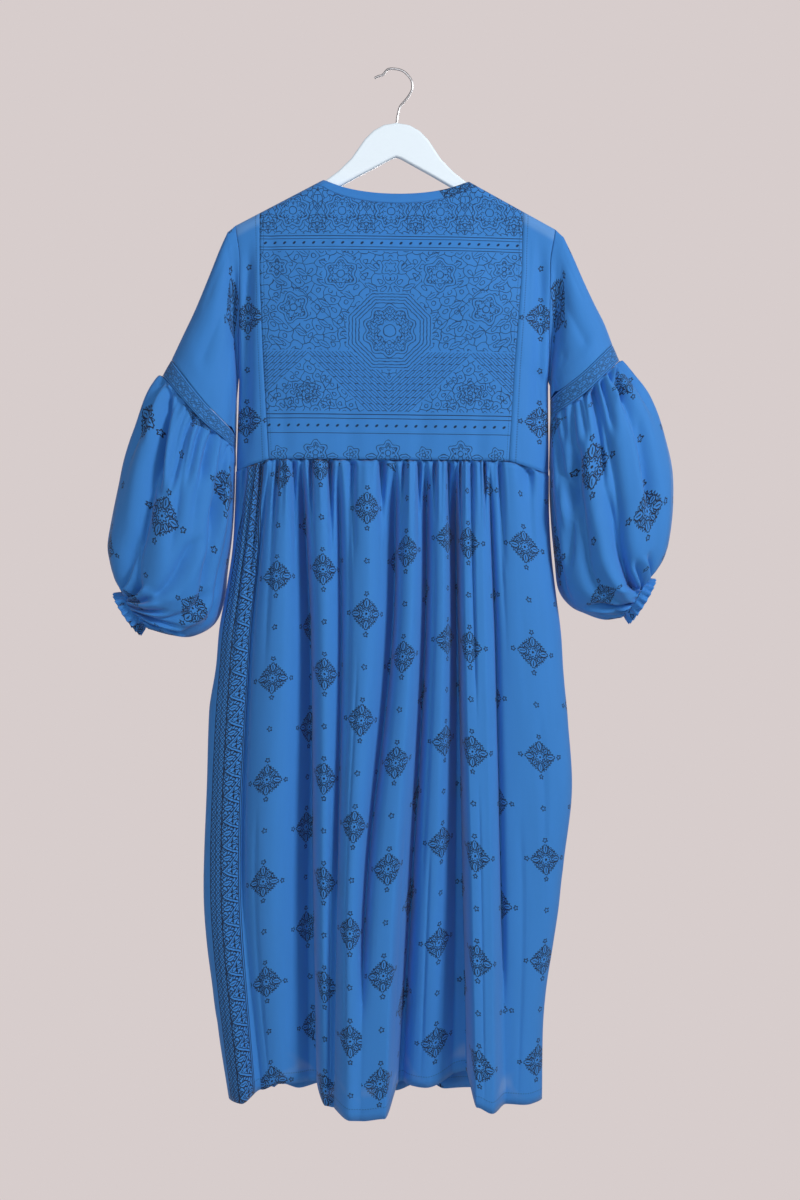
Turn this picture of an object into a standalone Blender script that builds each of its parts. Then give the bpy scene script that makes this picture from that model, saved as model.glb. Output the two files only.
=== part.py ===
"""Maxi dress hanging on a wooden hanger, its back towards -Y. Metres, +Z up.

The origin is the inside of the hook's top, where a rail carries it. Cloth pieces are walls of one
thickness whose outer points come from the functions below. Their places are measured from the
garment's own zero, the top of the shoulder line on the hanger's middle.
"""

from math import acos, cos, exp, pi, radians, sin, sqrt

import bmesh
import bpy
from mathutils import Vector

# Placing
GARMENT_ZERO = Vector((0.006, 0.0, -0.150))
CLOTH = 0.0016
SEAM = 0.0003
HALF_SEAM = SEAM / 2
# Steps by which a surface's normal is taken, along each of its two directions
SHARE_STEP = 0.002
GIRTH_STEP = 0.0004
ANGLE_STEP = 0.02
RUN_STEP = 0.01

# Shoulder and neck
ROLL = 0.0125
NECK_HALF = 0.0985
NECK_BACK_GIRTH = 0.0271
NECK_FRONT_GIRTH = 0.0985
BAND_WIDE = 0.0128
SHOULDER_SLOPE = 0.539

# Bodice
ARM_X_TOP = 0.2155
ARM_X = 0.2085
WAIST_X = 0.2105
ARM_OPEN = 0.0115
ARM_OPEN_POWER = 0.42
ARM_EASE = 0.06
WAIST_EASE = 0.12
ARMHOLE_GAP = 0.0004
BODICE_DEEP = 0.036
WAIST_DEEP = 0.042
DEEP_BY = 0.17
SIDE_POWER = 6.0
YOKE_X = {"girth": (0.0, 0.09, 0.22, 0.35), "left": (-0.1830, -0.1810, -0.1735, -0.1642),
          "right": (0.1712, 0.1700, 0.1610, 0.1544)}
# Columns of a side panel, as shares of its width from the yoke's seam to the armhole
SIDE_SHARES = (0.0, 0.38, 0.66, 0.85, 0.96, 1.0)
# The waist line bends where the yoke's seams meet it, and so do both halves of the skirt
WAIST_LINE = {"x": (-0.2105, -0.1642, 0.1544, 0.2105), "z": (-0.395, -0.380, -0.379, -0.395)}
# Rows down the bodice, as shares of the girth from shoulder to waist; the underarm is on one of them
UNDERARM_STEP = 0.634
ROWS = (0.0, 0.012, 0.026, 0.042, 0.062, 0.11, 0.2, 0.33, 0.46, 0.57, UNDERARM_STEP, 0.8, 1.0)
# Angles round the neck where its points lie, closer over the roll of the shoulder
NECK_ANGLES = {"back": (0, 8, 16, 25, 37, 52, 70, 90), "front": (0, 2, 4, 6.5, 10, 16, 26, 40, 56, 72, 90)}

# Skirt sections: heights of the four table columns
FOLD_LEVELS = (-0.39, -0.62, -0.95, -1.23)
OUTLINE = {"z": (-0.385, -0.433, -0.487, -0.541, -0.595, -0.649, -0.704, -0.811, -0.920, -0.974, -1.028,
                 -1.081, -1.135, -1.240),
           "left": (-0.2112, -0.2122, -0.2148, -0.2222, -0.2311, -0.2352, -0.2433, -0.2454, -0.2481,
                    -0.2474, -0.2427, -0.2353, -0.2272, -0.2104),
           "right": (0.2112, 0.2120, 0.2157, 0.2224, 0.2299, 0.2339, 0.2399, 0.2473, 0.2365,
                     0.2311, 0.2237, 0.2162, 0.2122, 0.2121)}
# One row a fold line. x_waist, x_high, x_low, x_hem; y_high, y_low, y_hem; hem height
BACK_FOLDS = (
    (-0.1857, -0.2100, -0.2193, -0.1917, -0.030, -0.032, -0.038, -1.239),
    (-0.1642, -0.1842, -0.1910, -0.1660, -0.025, -0.020, -0.008, -1.226),
    (-0.1412, -0.1450, -0.1560, -0.1418, -0.043, -0.038, -0.014, -1.216),
    (-0.1209, -0.1073, -0.1010, -0.0932, -0.022, -0.012, -0.006, -1.217),
    (-0.0953, -0.0870, -0.0843, -0.0783, -0.048, -0.046, -0.040, -1.237),
    (-0.0710, -0.0655, -0.0668, -0.0675, -0.036, -0.034, -0.036, -1.240),
    (-0.0332, -0.0330, -0.0479, -0.0446, -0.054, -0.060, -0.070, -1.247),
    (0.0047, 0.0020, -0.0276, -0.0310, -0.031, -0.050, -0.067, -1.248),
    (0.0249, 0.0237, 0.0062, 0.0000, -0.050, -0.060, -0.070, -1.244),
    (0.0465, 0.0466, 0.0332, 0.0203, -0.028, -0.020, -0.002, -1.216),
    (0.0654, 0.0682, 0.0602, 0.0540, -0.046, -0.037, -0.014, -1.219),
    (0.0843, 0.0912, 0.1007, 0.1100, -0.016, -0.006, 0.002, -1.201),
    (0.0955, 0.1010, 0.1125, 0.1215, -0.046, -0.052, -0.056, -1.232),
    (0.1154, 0.1236, 0.1358, 0.1418, -0.045, -0.050, -0.056, -1.240),
    (0.1290, 0.1411, 0.1520, 0.1620, -0.032, -0.034, -0.026, -1.236),
    (0.1544, 0.1749, 0.1985, 0.1890, -0.040, -0.036, -0.026, -1.238),
)
FRONT_FOLDS = (
    (-0.1800, -0.2000, -0.2080, -0.1850, 0.034, 0.036, 0.040, -1.238),
    (-0.1642, -0.1700, -0.1680, -0.1500, 0.024, 0.020, 0.018, -1.228),
    (-0.1160, -0.1180, -0.1220, -0.1200, 0.047, 0.052, 0.056, -1.242),
    (-0.0900, -0.0860, -0.0800, -0.0780, 0.026, 0.018, 0.014, -1.220),
    (-0.0560, -0.0520, -0.0480, -0.0500, 0.050, 0.056, 0.062, -1.245),
    (-0.0250, -0.0230, -0.0180, -0.0150, 0.032, 0.036, 0.044, -1.236),
    (0.0060, 0.0080, 0.0120, 0.0150, 0.052, 0.060, 0.066, -1.247),
    (0.0380, 0.0410, 0.0460, 0.0500, 0.024, 0.016, 0.012, -1.219),
    (0.0700, 0.0740, 0.0800, 0.0820, 0.048, 0.052, 0.054, -1.240),
    (0.1020, 0.1080, 0.1150, 0.1180, 0.028, 0.026, 0.028, -1.230),
    (0.1340, 0.1440, 0.1550, 0.1520, 0.046, 0.050, 0.056, -1.243),
    (0.1544, 0.1760, 0.1880, 0.1800, 0.030, 0.028, 0.030, -1.236),
)
SKIRT_ROWS = (0.0, 0.018, 0.05, 0.10, 0.18, 0.29, 0.42, 0.55, 0.69, 0.84, 1.0)
FOLD_STEPS = 4
GATHER_DEEP = 0.0042
GATHER_FADE = 0.16
# Shares of the half width beyond which the gathers flatten out, and of the drop by which folds are full
GATHER_EDGE = 0.9
FOLDS_FULL = 0.22
# How far the deepest fold of the back may cross the middle plane
FOLD_PAST_MIDDLE = 0.004
SKIRT_SIDE_POWER = 10.0
SIDE_HEM = {"left": -1.238, "right": -1.235}

# Sleeves: a row a ring. Outer point x, z; inner point x, z; half depth; roundness
LEFT_UPPER = (
    (-0.2262, -0.0720, -0.2097, -0.2780, 0.0150, 0.62),
    (-0.2366, -0.0958, -0.2107, -0.2900, 0.0220, 0.75),
    (-0.2523, -0.1365, -0.2122, -0.3050, 0.0290, 0.90),
    (-0.2690, -0.1780, -0.2138, -0.3200, 0.0340, 1.00),
    (-0.2850, -0.2130, -0.2155, -0.3350, 0.0380, 1.00),
    (-0.2995, -0.2451, -0.2173, -0.3481, 0.0400, 1.00),
)
RIGHT_UPPER = (
    (0.2270, -0.0735, 0.2112, -0.2745, 0.0150, 0.62),
    (0.2400, -0.1000, 0.2122, -0.2790, 0.0220, 0.75),
    (0.2540, -0.1310, 0.2136, -0.2830, 0.0290, 0.90),
    (0.2690, -0.1620, 0.2152, -0.2865, 0.0340, 1.00),
    (0.2830, -0.1890, 0.2172, -0.2897, 0.0380, 1.00),
    (0.2942, -0.2176, 0.2195, -0.2928, 0.0400, 1.00),
)
LEFT_BAND = (
    (-0.2999, -0.2458, -0.2175, -0.3485, 0.0402, 1.00),
    (-0.3058, -0.2560, -0.2212, -0.3570, 0.0410, 1.00),
    (-0.3112, -0.2664, -0.2245, -0.3650, 0.0415, 1.00),
)
RIGHT_BAND = (
    (0.2945, -0.2181, 0.2197, -0.2933, 0.0402, 1.00),
    (0.2992, -0.2285, 0.2232, -0.3052, 0.0410, 1.00),
    (0.3037, -0.2388, 0.2268, -0.3166, 0.0415, 1.00),
)
LEFT_BALLOON = (
    (-0.3116, -0.2669, -0.2247, -0.3655, 0.0415, 1.00),
    (-0.3200, -0.2740, -0.2215, -0.3745, 0.0455, 1.00),
    (-0.3335, -0.2965, -0.2190, -0.3900, 0.0520, 1.00),
    (-0.3483, -0.3402, -0.2175, -0.4240, 0.0590, 0.95),
    (-0.3613, -0.3809, -0.2172, -0.4600, 0.0630, 0.92),
    (-0.3700, -0.4200, -0.2180, -0.4950, 0.0650, 0.90),
    (-0.3779, -0.4621, -0.2225, -0.5320, 0.0650, 0.90),
    (-0.3829, -0.4959, -0.2275, -0.5720, 0.0630, 0.90),
    (-0.3800, -0.5180, -0.2400, -0.6020, 0.0590, 0.92),
    (-0.3750, -0.5350, -0.2680, -0.6175, 0.0520, 0.95),
    (-0.3690, -0.5470, -0.2980, -0.6150, 0.0440, 1.00),
    (-0.3610, -0.5580, -0.3290, -0.6060, 0.0360, 1.00),
)
RIGHT_BALLOON = (
    (0.3041, -0.2393, 0.2270, -0.3171, 0.0415, 1.00),
    (0.3110, -0.2450, 0.2240, -0.3270, 0.0455, 1.00),
    (0.3230, -0.2580, 0.2212, -0.3480, 0.0520, 1.00),
    (0.3395, -0.2778, 0.2190, -0.3850, 0.0590, 0.95),
    (0.3560, -0.3100, 0.2172, -0.4280, 0.0630, 0.92),
    (0.3680, -0.3450, 0.2185, -0.4700, 0.0650, 0.90),
    (0.3772, -0.3854, 0.2222, -0.5090, 0.0650, 0.90),
    (0.3789, -0.4300, 0.2275, -0.5480, 0.0630, 0.90),
    (0.3760, -0.4680, 0.2440, -0.5710, 0.0590, 0.92),
    (0.3700, -0.4970, 0.2650, -0.5810, 0.0520, 0.95),
    (0.3590, -0.5170, 0.2900, -0.5870, 0.0440, 1.00),
    (0.3430, -0.5310, 0.3130, -0.5830, 0.0360, 1.00),
)
# Balloon folds, a row a trough: place round the ring in degrees (0 outer, 90 back, 180 inner),
# half width in degrees, depth, and the stretch of the balloon it runs over
LEFT_TROUGHS = (
    (66, 8, 0.0165, -0.05, 0.93), (84, 5, 0.0070, -0.20, 0.50), (98, 5, 0.0080, -0.20, 0.62),
    (116, 6, 0.0075, -0.20, 0.55), (136, 6, 0.0090, -0.20, 0.75), (158, 7, 0.0070, -0.20, 0.80),
    (30, 6, 0.0060, -0.20, 0.40), (196, 7, 0.0080, -0.20, 0.60), (222, 7, 0.0120, -0.05, 0.85),
    (246, 6, 0.0070, -0.20, 0.50), (268, 7, 0.0130, -0.05, 0.90), (292, 6, 0.0070, -0.20, 0.55),
    (318, 7, 0.0090, -0.20, 0.80), (110, 6, 0.0080, 0.74, 1.20), (150, 7, 0.0080, 0.70, 1.20),
    (235, 7, 0.0070, 0.72, 1.20), (300, 7, 0.0070, 0.72, 1.20), (10, 7, 0.0050, 0.78, 1.20),
)
RIGHT_TROUGHS = (
    (58, 7, 0.0100, -0.05, 0.70), (90, 7, 0.0130, -0.05, 0.97), (108, 5, 0.0070, -0.20, 0.50),
    (126, 6, 0.0100, -0.05, 0.85), (146, 6, 0.0070, -0.20, 0.60), (164, 6, 0.0080, -0.20, 0.75),
    (28, 6, 0.0060, -0.20, 0.40), (200, 7, 0.0080, -0.20, 0.60), (226, 7, 0.0120, -0.05, 0.85),
    (250, 6, 0.0070, -0.20, 0.50), (272, 7, 0.0130, -0.05, 0.90), (296, 6, 0.0070, -0.20, 0.55),
    (320, 7, 0.0090, -0.20, 0.80), (70, 6, 0.0070, 0.74, 1.20), (138, 7, 0.0080, 0.70, 1.20),
    (240, 7, 0.0070, 0.72, 1.20), (304, 7, 0.0070, 0.72, 1.20), (12, 7, 0.0050, 0.78, 1.20),
)
BALLOON_STEPS = 48
CUFF_STEPS = 60
CUFF_WAVES = 20
CUFF_WAVE_DEEP = 0.0026
CUFF_WIDE = 0.0125
CUFF_FLARE = 0.0035
# Share of a sleeve piece over which a trough starts and ends
TROUGH_EASE = 0.18

# Hanger: outline of one half of the flat wood, from its top round the arm to the notch below
WOOD_THICK = 0.011
WOOD_ROUND = 0.003
WOOD_HALF = (
    (0.0000, 0.0778), (0.0172, 0.0750), (0.0312, 0.0672), (0.0428, 0.0556), (0.0522, 0.0417),
    (0.0606, 0.0294), (0.0776, 0.0123), (0.0930, 0.0005), (0.1050, -0.0074), (0.1160, -0.0131),
    (0.1295, -0.0197), (0.1564, -0.0342), (0.1832, -0.0487), (0.1905, -0.0534), (0.1950, -0.0590),
    (0.1945, -0.0650), (0.1890, -0.0672), (0.1564, -0.0520), (0.1295, -0.0393), (0.1000, -0.0230),
    (0.0757, -0.0085), (0.0500, 0.0062), (0.0230, 0.0208), (0.0060, 0.0300),
)
NOTCH = (0.0000, 0.0322)
HOOK_WIRE = 0.0016
HOOK_LINE = (
    (-0.0245, -0.0112), (-0.0200, -0.0085), (-0.0150, -0.0078), (-0.0118, -0.0048), (-0.0093, -0.0011),
    (-0.0068, 0.0010), (-0.0036, 0.0017), (0.0000, 0.0018), (0.0058, 0.0013), (0.0120, -0.0003),
    (0.0171, -0.0035), (0.0228, -0.0097), (0.0256, -0.0145), (0.0263, -0.0192), (0.0265, -0.0240),
    (0.0253, -0.0285), (0.0209, -0.0362), (0.0165, -0.0415), (0.0124, -0.0460), (0.0100, -0.0495),
    (0.0086, -0.0540), (0.0074, -0.0600), (0.0064, -0.0660), (0.0060, -0.0717),
)


def mix(a, b, t):
    return a + (b - a) * t


def smooth(t):
    t = min(max(t, 0.0), 1.0)
    return t * t * (3 - 2 * t)


def table(xs, ys, x):
    """Value at x of a table whose keys rise, held beyond its ends."""
    if x <= xs[0]:
        return ys[0]
    for k in range(1, len(xs)):
        if x <= xs[k]:
            return mix(ys[k - 1], ys[k], (x - xs[k - 1]) / (xs[k] - xs[k - 1]))
    return ys[-1]


def falling(zs, ys, z):
    """The same for keys that fall, eased between keys by a cubic through the neighbours."""
    if z >= zs[0]:
        return ys[0]
    for k in range(1, len(zs)):
        if z >= zs[k]:
            t = (z - zs[k - 1]) / (zs[k] - zs[k - 1])
            before, after = ys[max(k - 2, 0)], ys[min(k + 1, len(ys) - 1)]
            a, b = ys[k - 1], ys[k]
            m0, m1 = (b - before) / 2, (after - a) / 2
            if k == 1:
                m0 = b - a
            if k == len(zs) - 1:
                m1 = b - a
            t2, t3 = t * t, t * t * t
            return (2 * t3 - 3 * t2 + 1) * a + (t3 - 2 * t2 + t) * m0 + (3 * t2 - 2 * t3) * b + (t3 - t2) * m1
    return ys[-1]


def material(name, colour, roughness, metallic=0.0):
    made = bpy.data.materials.new(name)
    made.use_nodes = True
    shader = made.node_tree.nodes["Principled BSDF"]
    shader.inputs["Base Color"].default_value = (*colour, 1.0)
    shader.inputs["Roughness"].default_value = roughness
    shader.inputs["Metallic"].default_value = metallic
    return made


def shoulder(x):
    return -SHOULDER_SLOPE * max(abs(x) - NECK_HALF, 0.0)


def roll_drop(girth):
    quarter = ROLL * pi / 2
    if girth < quarter:
        return ROLL * (1 - cos(girth / ROLL))
    return ROLL + girth - quarter


def girth_of(drop):
    """Girth at which roll_drop reaches a drop of more than the roll."""
    return drop - ROLL + ROLL * pi / 2


def middle_depth(girth):
    quarter = ROLL * pi / 2
    if girth < quarter:
        return ROLL * sin(girth / ROLL)
    beyond = girth - quarter
    deep = mix(BODICE_DEEP, WAIST_DEEP, smooth((beyond - DEEP_BY) / DEEP_BY))
    return mix(ROLL, deep, smooth(beyond / DEEP_BY))


UNDERARM_GIRTH = mix(HALF_SEAM, girth_of(shoulder(WAIST_X) - WAIST_LINE["z"][-1]), UNDERARM_STEP)


def edge_depth(girth):
    """Half opening at the armhole, closed to the seam below it."""
    if girth <= 0 or girth >= UNDERARM_GIRTH:
        return HALF_SEAM
    open_by = ARM_OPEN * sin(pi * girth / UNDERARM_GIRTH) ** ARM_OPEN_POWER
    return max(min(middle_depth(girth), open_by), HALF_SEAM)


def edge_x(girth):
    if girth < UNDERARM_GIRTH:
        return mix(ARM_X_TOP, ARM_X, smooth(girth / ARM_EASE))
    return mix(ARM_X, WAIST_X, smooth((girth - UNDERARM_GIRTH) / WAIST_EASE))


def waist_z(x):
    return table(WAIST_LINE["x"], WAIST_LINE["z"], x)


def waist_girth(x):
    return girth_of(shoulder(x) - waist_z(x))


def bodice(share, girth, side):
    """Point on the bodice: share of the half width, girth below the shoulder line, side -1 back, 1 front."""
    share = min(max(share, -1.0), 1.0)
    x = share * edge_x(girth)
    edge, middle = edge_depth(girth), middle_depth(girth)
    depth = edge + max(middle - edge, 0.0) * sqrt(max(1 - abs(share) ** SIDE_POWER, 0.0))
    if girth <= 0:
        depth = 0.0
    return Vector((x, side * depth, shoulder(x) - roll_drop(girth)))


def outward(surface, u, v, span_u, span_v, away):
    """Unit normal of a surface by differences, on the side that away points to."""
    along = surface(u + span_u, v) - surface(u - span_u, v)
    down = surface(u, v + span_v) - surface(u, v - span_v)
    normal = along.cross(down)
    if normal.length < 1e-12:
        return away.normalized()
    normal.normalize()
    if normal.dot(away) < 0:
        normal.negate()
    return normal


def in_plane(normal, axis):
    """The normal with its share along the axis taken out, so that seam faces lie in one plane."""
    axis = axis.normalized()
    flat = normal - axis * normal.dot(axis)
    return flat.normalized()


def wall(name, rows, closed, look):
    """A closed wall from rows of (outer point, outward direction)."""
    mesh = bmesh.new()
    outer = [[mesh.verts.new(point) for point, _ in row] for row in rows]
    inner = [[mesh.verts.new(point - away * CLOTH) for point, away in row] for row in rows]
    count = len(rows[0])
    steps = count if closed else count - 1
    for r in range(len(rows) - 1):
        for c in range(steps):
            d = (c + 1) % count
            mesh.faces.new((outer[r][c], outer[r][d], outer[r + 1][d], outer[r + 1][c]))
            mesh.faces.new((inner[r][c], inner[r + 1][c], inner[r + 1][d], inner[r][d]))
    for r, turned in ((0, False), (len(rows) - 1, True)):
        for c in range(steps):
            d = (c + 1) % count
            loop = (outer[r][c], inner[r][c], inner[r][d], outer[r][d])
            mesh.faces.new(tuple(reversed(loop)) if turned else loop)
    if not closed:
        for c, turned in ((0, True), (count - 1, False)):
            for r in range(len(rows) - 1):
                loop = (outer[r][c], inner[r][c], inner[r + 1][c], outer[r + 1][c])
                mesh.faces.new(tuple(reversed(loop)) if turned else loop)
    bmesh.ops.recalc_face_normals(mesh, faces=mesh.faces)
    return add(name, mesh, look)


def add(name, mesh, look):
    data = bpy.data.meshes.new(name)
    mesh.to_mesh(data)
    mesh.free()
    made = bpy.data.objects.new(name, data)
    made.data.materials.append(look)
    dress.objects.link(made)
    made.parent = garment
    return made


def neck_girth(x, half, deep):
    """Girth of an ellipse round the neck at x, zero past its half width."""
    inside = 1 - (x / half) ** 2
    return deep * sqrt(inside) if inside > 0 else 0.0


def top_girth(x, side):
    half = NECK_HALF + BAND_WIDE + SEAM
    deep = (NECK_BACK_GIRTH if side < 0 else NECK_FRONT_GIRTH) + BAND_WIDE + SEAM
    return max(neck_girth(x, half, deep), HALF_SEAM)


def bodice_panel(name, xs, side, look):
    """A panel between two seams; xs gives the columns as functions of the girth."""
    rows = []
    for step in ROWS:
        row = []
        for column in xs:
            x = column(0.0)
            top = top_girth(x, side)
            low = waist_girth(column(waist_girth(x)))
            girth = mix(top, low, step)
            x = column(girth)
            share = x / edge_x(girth)
            point = bodice(share, girth, side)
            away = outward(lambda u, v: bodice(u, v, side), share, girth, SHARE_STEP, GIRTH_STEP,
                           Vector((x * 0.2, side, 0.3)))
            if step == 1.0:
                away = in_plane(away, Vector((0, 0, 1)))
            if (step == 0.0 and top <= HALF_SEAM) or abs(share) > 0.9999:
                away = in_plane(away, Vector((0, 1, 0)))
            row.append((point, away))
        rows.append(row)
    return wall(name, rows, False, look)


def seam_x(side_name, shift=0.0):
    return lambda girth: table(YOKE_X["girth"], YOKE_X[side_name], girth) + shift


def between(first, last, t):
    return lambda girth: mix(first(girth), last(girth), t)


def neck_angles(face):
    """Angles over half the neck, from one shoulder to the other."""
    quarter = [radians(angle) for angle in NECK_ANGLES[face]]
    return quarter + [pi - angle for angle in reversed(quarter[:-1])]


def build_bodice():
    for side, face, look in ((-1, "back", print_cloth), (1, "front", cloth)):
        left, right = seam_x("left", HALF_SEAM), seam_x("right", -HALF_SEAM)
        reach = NECK_HALF + BAND_WIDE + SEAM
        arcs = [-reach * cos(angle) for angle in neck_angles(face)]
        neck = [(lambda girth, x=x: x) for x in arcs]
        columns = [left, between(left, neck[0], 0.5), *neck, between(neck[-1], right, 0.5), right]
        bodice_panel(f"{face}_yoke", columns, side, look)
        for end, sign in (("left", -1), ("right", 1)):
            inner = seam_x(end, sign * HALF_SEAM)
            outer = (lambda girth, sign=sign: sign * edge_x(girth))
            columns = [between(inner, outer, t) for t in SIDE_SHARES]
            bodice_panel(f"{face}_side_{end}", columns, side, cloth)


def neck_surface(angle, across):
    """Point on the neck band: angle round the neck, across 0 at the neck edge to 1 at the seam."""
    x = (NECK_HALF + BAND_WIDE * across) * cos(angle)
    rise = sin(angle)
    side = -1 if rise < 0 else 1
    deep = (NECK_BACK_GIRTH if side < 0 else NECK_FRONT_GIRTH) + BAND_WIDE * across
    girth = deep * abs(rise)
    return bodice(x / edge_x(girth), girth, side)


def build_neck_band():
    angles = [pi + angle for angle in neck_angles("back")[:-1]] + neck_angles("front")[:-1]
    rows = []
    for across in (0.0, 0.5, 1.0):
        row = []
        for angle in angles:
            side = -1 if sin(angle) < 0 else 1
            away = outward(neck_surface, angle, across, ANGLE_STEP, RUN_STEP,
                           Vector((cos(angle) * 0.2, side * abs(sin(angle)), 0.6)))
            row.append((neck_surface(angle, across), away))
        rows.append(row)
    return wall("neck_band", rows, True, border_cloth)


def fold_columns(folds):
    """Fold lines and the points between them: each is (index, part) with part running to the next."""
    columns = []
    for k in range(len(folds) + 1):
        for part in range(FOLD_STEPS):
            g = part / FOLD_STEPS
            if k == 0:
                g = 1 - cos(pi / 2 * g)
            if k == len(folds):
                g = sin(pi / 2 * g)
            columns.append((k, g))
    columns.append((len(folds), 1.0))
    return columns


def fold_value(folds, line, column, end_values):
    """Value of a table column on fold line number line, where 0 and the last are the side seams."""
    if line == 0:
        return end_values[0]
    if line == len(folds) + 1:
        return end_values[1]
    return folds[line - 1][column]


def skirt_point(folds, side, place, t):
    """Point on a half skirt: place counts fold lines from the left, t runs waist to hem."""
    lines = len(folds) + 1
    place = min(max(place, 0.0), float(lines))
    k = min(int(place), lines - 1)
    g = place - k
    eased = smooth(g)
    hems = [fold_value(folds, n, 7, (SIDE_HEM["left"], SIDE_HEM["right"])) for n in (k, k + 1)]
    hem = mix(hems[0], hems[1], eased)
    z = mix(-0.3795, hem, t)
    ends = (falling(OUTLINE["z"], OUTLINE["left"], z), falling(OUTLINE["z"], OUTLINE["right"], z))
    xs = []
    for n in (k, k + 1):
        row = [fold_value(folds, n, c, (None, None)) for c in range(4)]
        xs.append(ends[0] if n == 0 else ends[1] if n == lines else falling(FOLD_LEVELS, row, z))
    x = mix(xs[0], xs[1], g)
    half = (ends[1] - ends[0]) / 2
    share = min(max((x - (ends[0] + ends[1]) / 2) / half, -1.0), 1.0)
    waist = waist_z(x) - SEAM
    z = mix(waist, hem, t)
    round_in = sqrt(max(1 - abs(share) ** SKIRT_SIDE_POWER, 0.0))
    ys = []
    for n in (k, k + 1):
        inner = min(max(n, 1), lines - 1)
        row = [folds[inner - 1][c] for c in (4, 4, 5, 6)]
        ys.append(side * falling(FOLD_LEVELS, row, z))
    fold = mix(ys[0], ys[1], eased) * round_in
    plain = WAIST_DEEP * sqrt(max(1 - abs(share) ** SIDE_POWER, 0.0))
    flat = smooth((abs(share) - GATHER_EDGE) / (1 - GATHER_EDGE))
    gather = GATHER_DEEP * max(1 - t / GATHER_FADE, 0.0) * (1 - flat)
    wave = 0.5 + 0.5 * cos(2 * pi * place)
    depth = mix(plain, fold, smooth(t / FOLDS_FULL)) + gather * wave
    least = -FOLD_PAST_MIDDLE if folds is BACK_FOLDS else 0.0
    return Vector((x, side * (HALF_SEAM + max(depth, least)), z))


def build_skirt():
    for name, folds, side, look in (("skirt_back", BACK_FOLDS, -1, print_cloth),
                                    ("skirt_front", FRONT_FOLDS, 1, print_cloth)):
        rows = []
        for t in SKIRT_ROWS:
            row = []
            for k, g in fold_columns(folds):
                place = k + g
                point = skirt_point(folds, side, place, t)
                away = outward(lambda u, v: skirt_point(folds, side, u, v), place, t,
                               ANGLE_STEP, RUN_STEP / 2, Vector((point.x * 0.8, side * 0.3, 0)))
                away = in_plane(away, Vector((0, 0, 1)))
                if place in (0, len(folds) + 1):
                    away = in_plane(away, Vector((0, 1, 0)))
                row.append((point, away))
            rows.append(row)
        wall(name, rows, False, look)


def ring_values(rings, v):
    """Ring measures at v from 0 to 1 along a sleeve piece, eased through the table's rows."""
    place = min(max(v, 0.0), 1.0) * (len(rings) - 1)
    keys = tuple(-n for n in range(len(rings)))
    return [falling(keys, tuple(row[c] for row in rings), -place) for c in range(6)]


def sleeve_point(rings, troughs, angle, v):
    """Point on a sleeve: angle 0 at the outer edge, a quarter turn at the back, half at the inner edge."""
    px, pz, qx, qz, half, roundness = ring_values(rings, v)
    along = (1 - cos(angle)) / 2
    s = sin(angle)
    depth = half * (abs(s) ** roundness) * (1 if s > 0 else -1)
    point = Vector((mix(px, qx, along), -depth, mix(pz, qz, along)))
    centre = Vector(((px + qx) / 2, 0.0, (pz + qz) / 2))
    sunk = 0.0
    for place, wide, deep, start, end in troughs:
        turn = (angle * 180 / pi - place + 180) % 360 - 180
        run = smooth((v - start) / TROUGH_EASE) * smooth((end - v) / TROUGH_EASE)
        sunk += deep * run * exp(-((turn / wide) ** 2))
    if sunk:
        away = point - centre
        point -= away.normalized() * sunk
    return point


def armhole_girths():
    """Girths of the bodice's rows along the armhole, shoulder to underarm."""
    low = waist_girth(WAIST_X)
    return [0.0] + [mix(HALF_SEAM, low, step) for step in ROWS if 0 < step <= UNDERARM_STEP]


def tube_angles():
    """Angles round a sleeve that meet the rows of the armhole."""
    back = [acos(1 - 2 * min(girth / UNDERARM_GIRTH, 1.0)) for girth in armhole_girths()]
    return back + [2 * pi - angle for angle in reversed(back[1:-1])]


def even_angles(steps):
    return [2 * pi * k / steps for k in range(steps)]


def sleeve_rows(rings, troughs, angles, vs, axis_first, axis_last):
    rows = []
    for v in vs:
        row = []
        px, pz, qx, qz = ring_values(rings, v)[:4]
        centre = Vector(((px + qx) / 2, 0.0, (pz + qz) / 2))
        for angle in angles:
            point = sleeve_point(rings, troughs, angle, v)
            away = outward(lambda u, w: sleeve_point(rings, troughs, u, w), angle, v, ANGLE_STEP, RUN_STEP,
                           point - centre)
            if v == 0.0 and axis_first:
                away = in_plane(away, axis_first)
            if v == 1.0 and axis_last:
                away = in_plane(away, axis_last)
            row.append((point, away))
        rows.append(row)
    return rows


def across(ring, sign):
    """Axis of a sleeve at a ring: square to its chord, pointing down the arm."""
    px, pz, qx, qz = ring[:4]
    return Vector((sign * abs(pz - qz), 0.0, -abs(px - qx))).normalized()


def armhole_ring(sign):
    """The sleeve's first ring, just outside the armhole's edge and on the same rows."""
    girths = armhole_girths()
    stops = [(girth, -1) for girth in girths] + [(girth, 1) for girth in reversed(girths[1:-1])]
    line = []
    for girth, side in stops:
        depth = 0.0 if girth in (girths[0], girths[-1]) else edge_depth(girth)
        z = shoulder(edge_x(girth)) - roll_drop(girth)
        line.append(Vector((sign * (edge_x(girth) + ARMHOLE_GAP), side * depth, z)))
    made = []
    for k, point in enumerate(line):
        run = line[(k + 1) % len(line)] - line[k - 1]
        away = Vector((0.0, run.z, -run.y)).normalized()
        if k == 0:
            away = Vector((0.0, 0.0, 1.0))
        elif k == len(girths) - 1:
            away = Vector((0.0, 0.0, -1.0))
        elif away.y * point.y < 0:
            away.negate()
        made.append((point, away))
    return made


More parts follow.
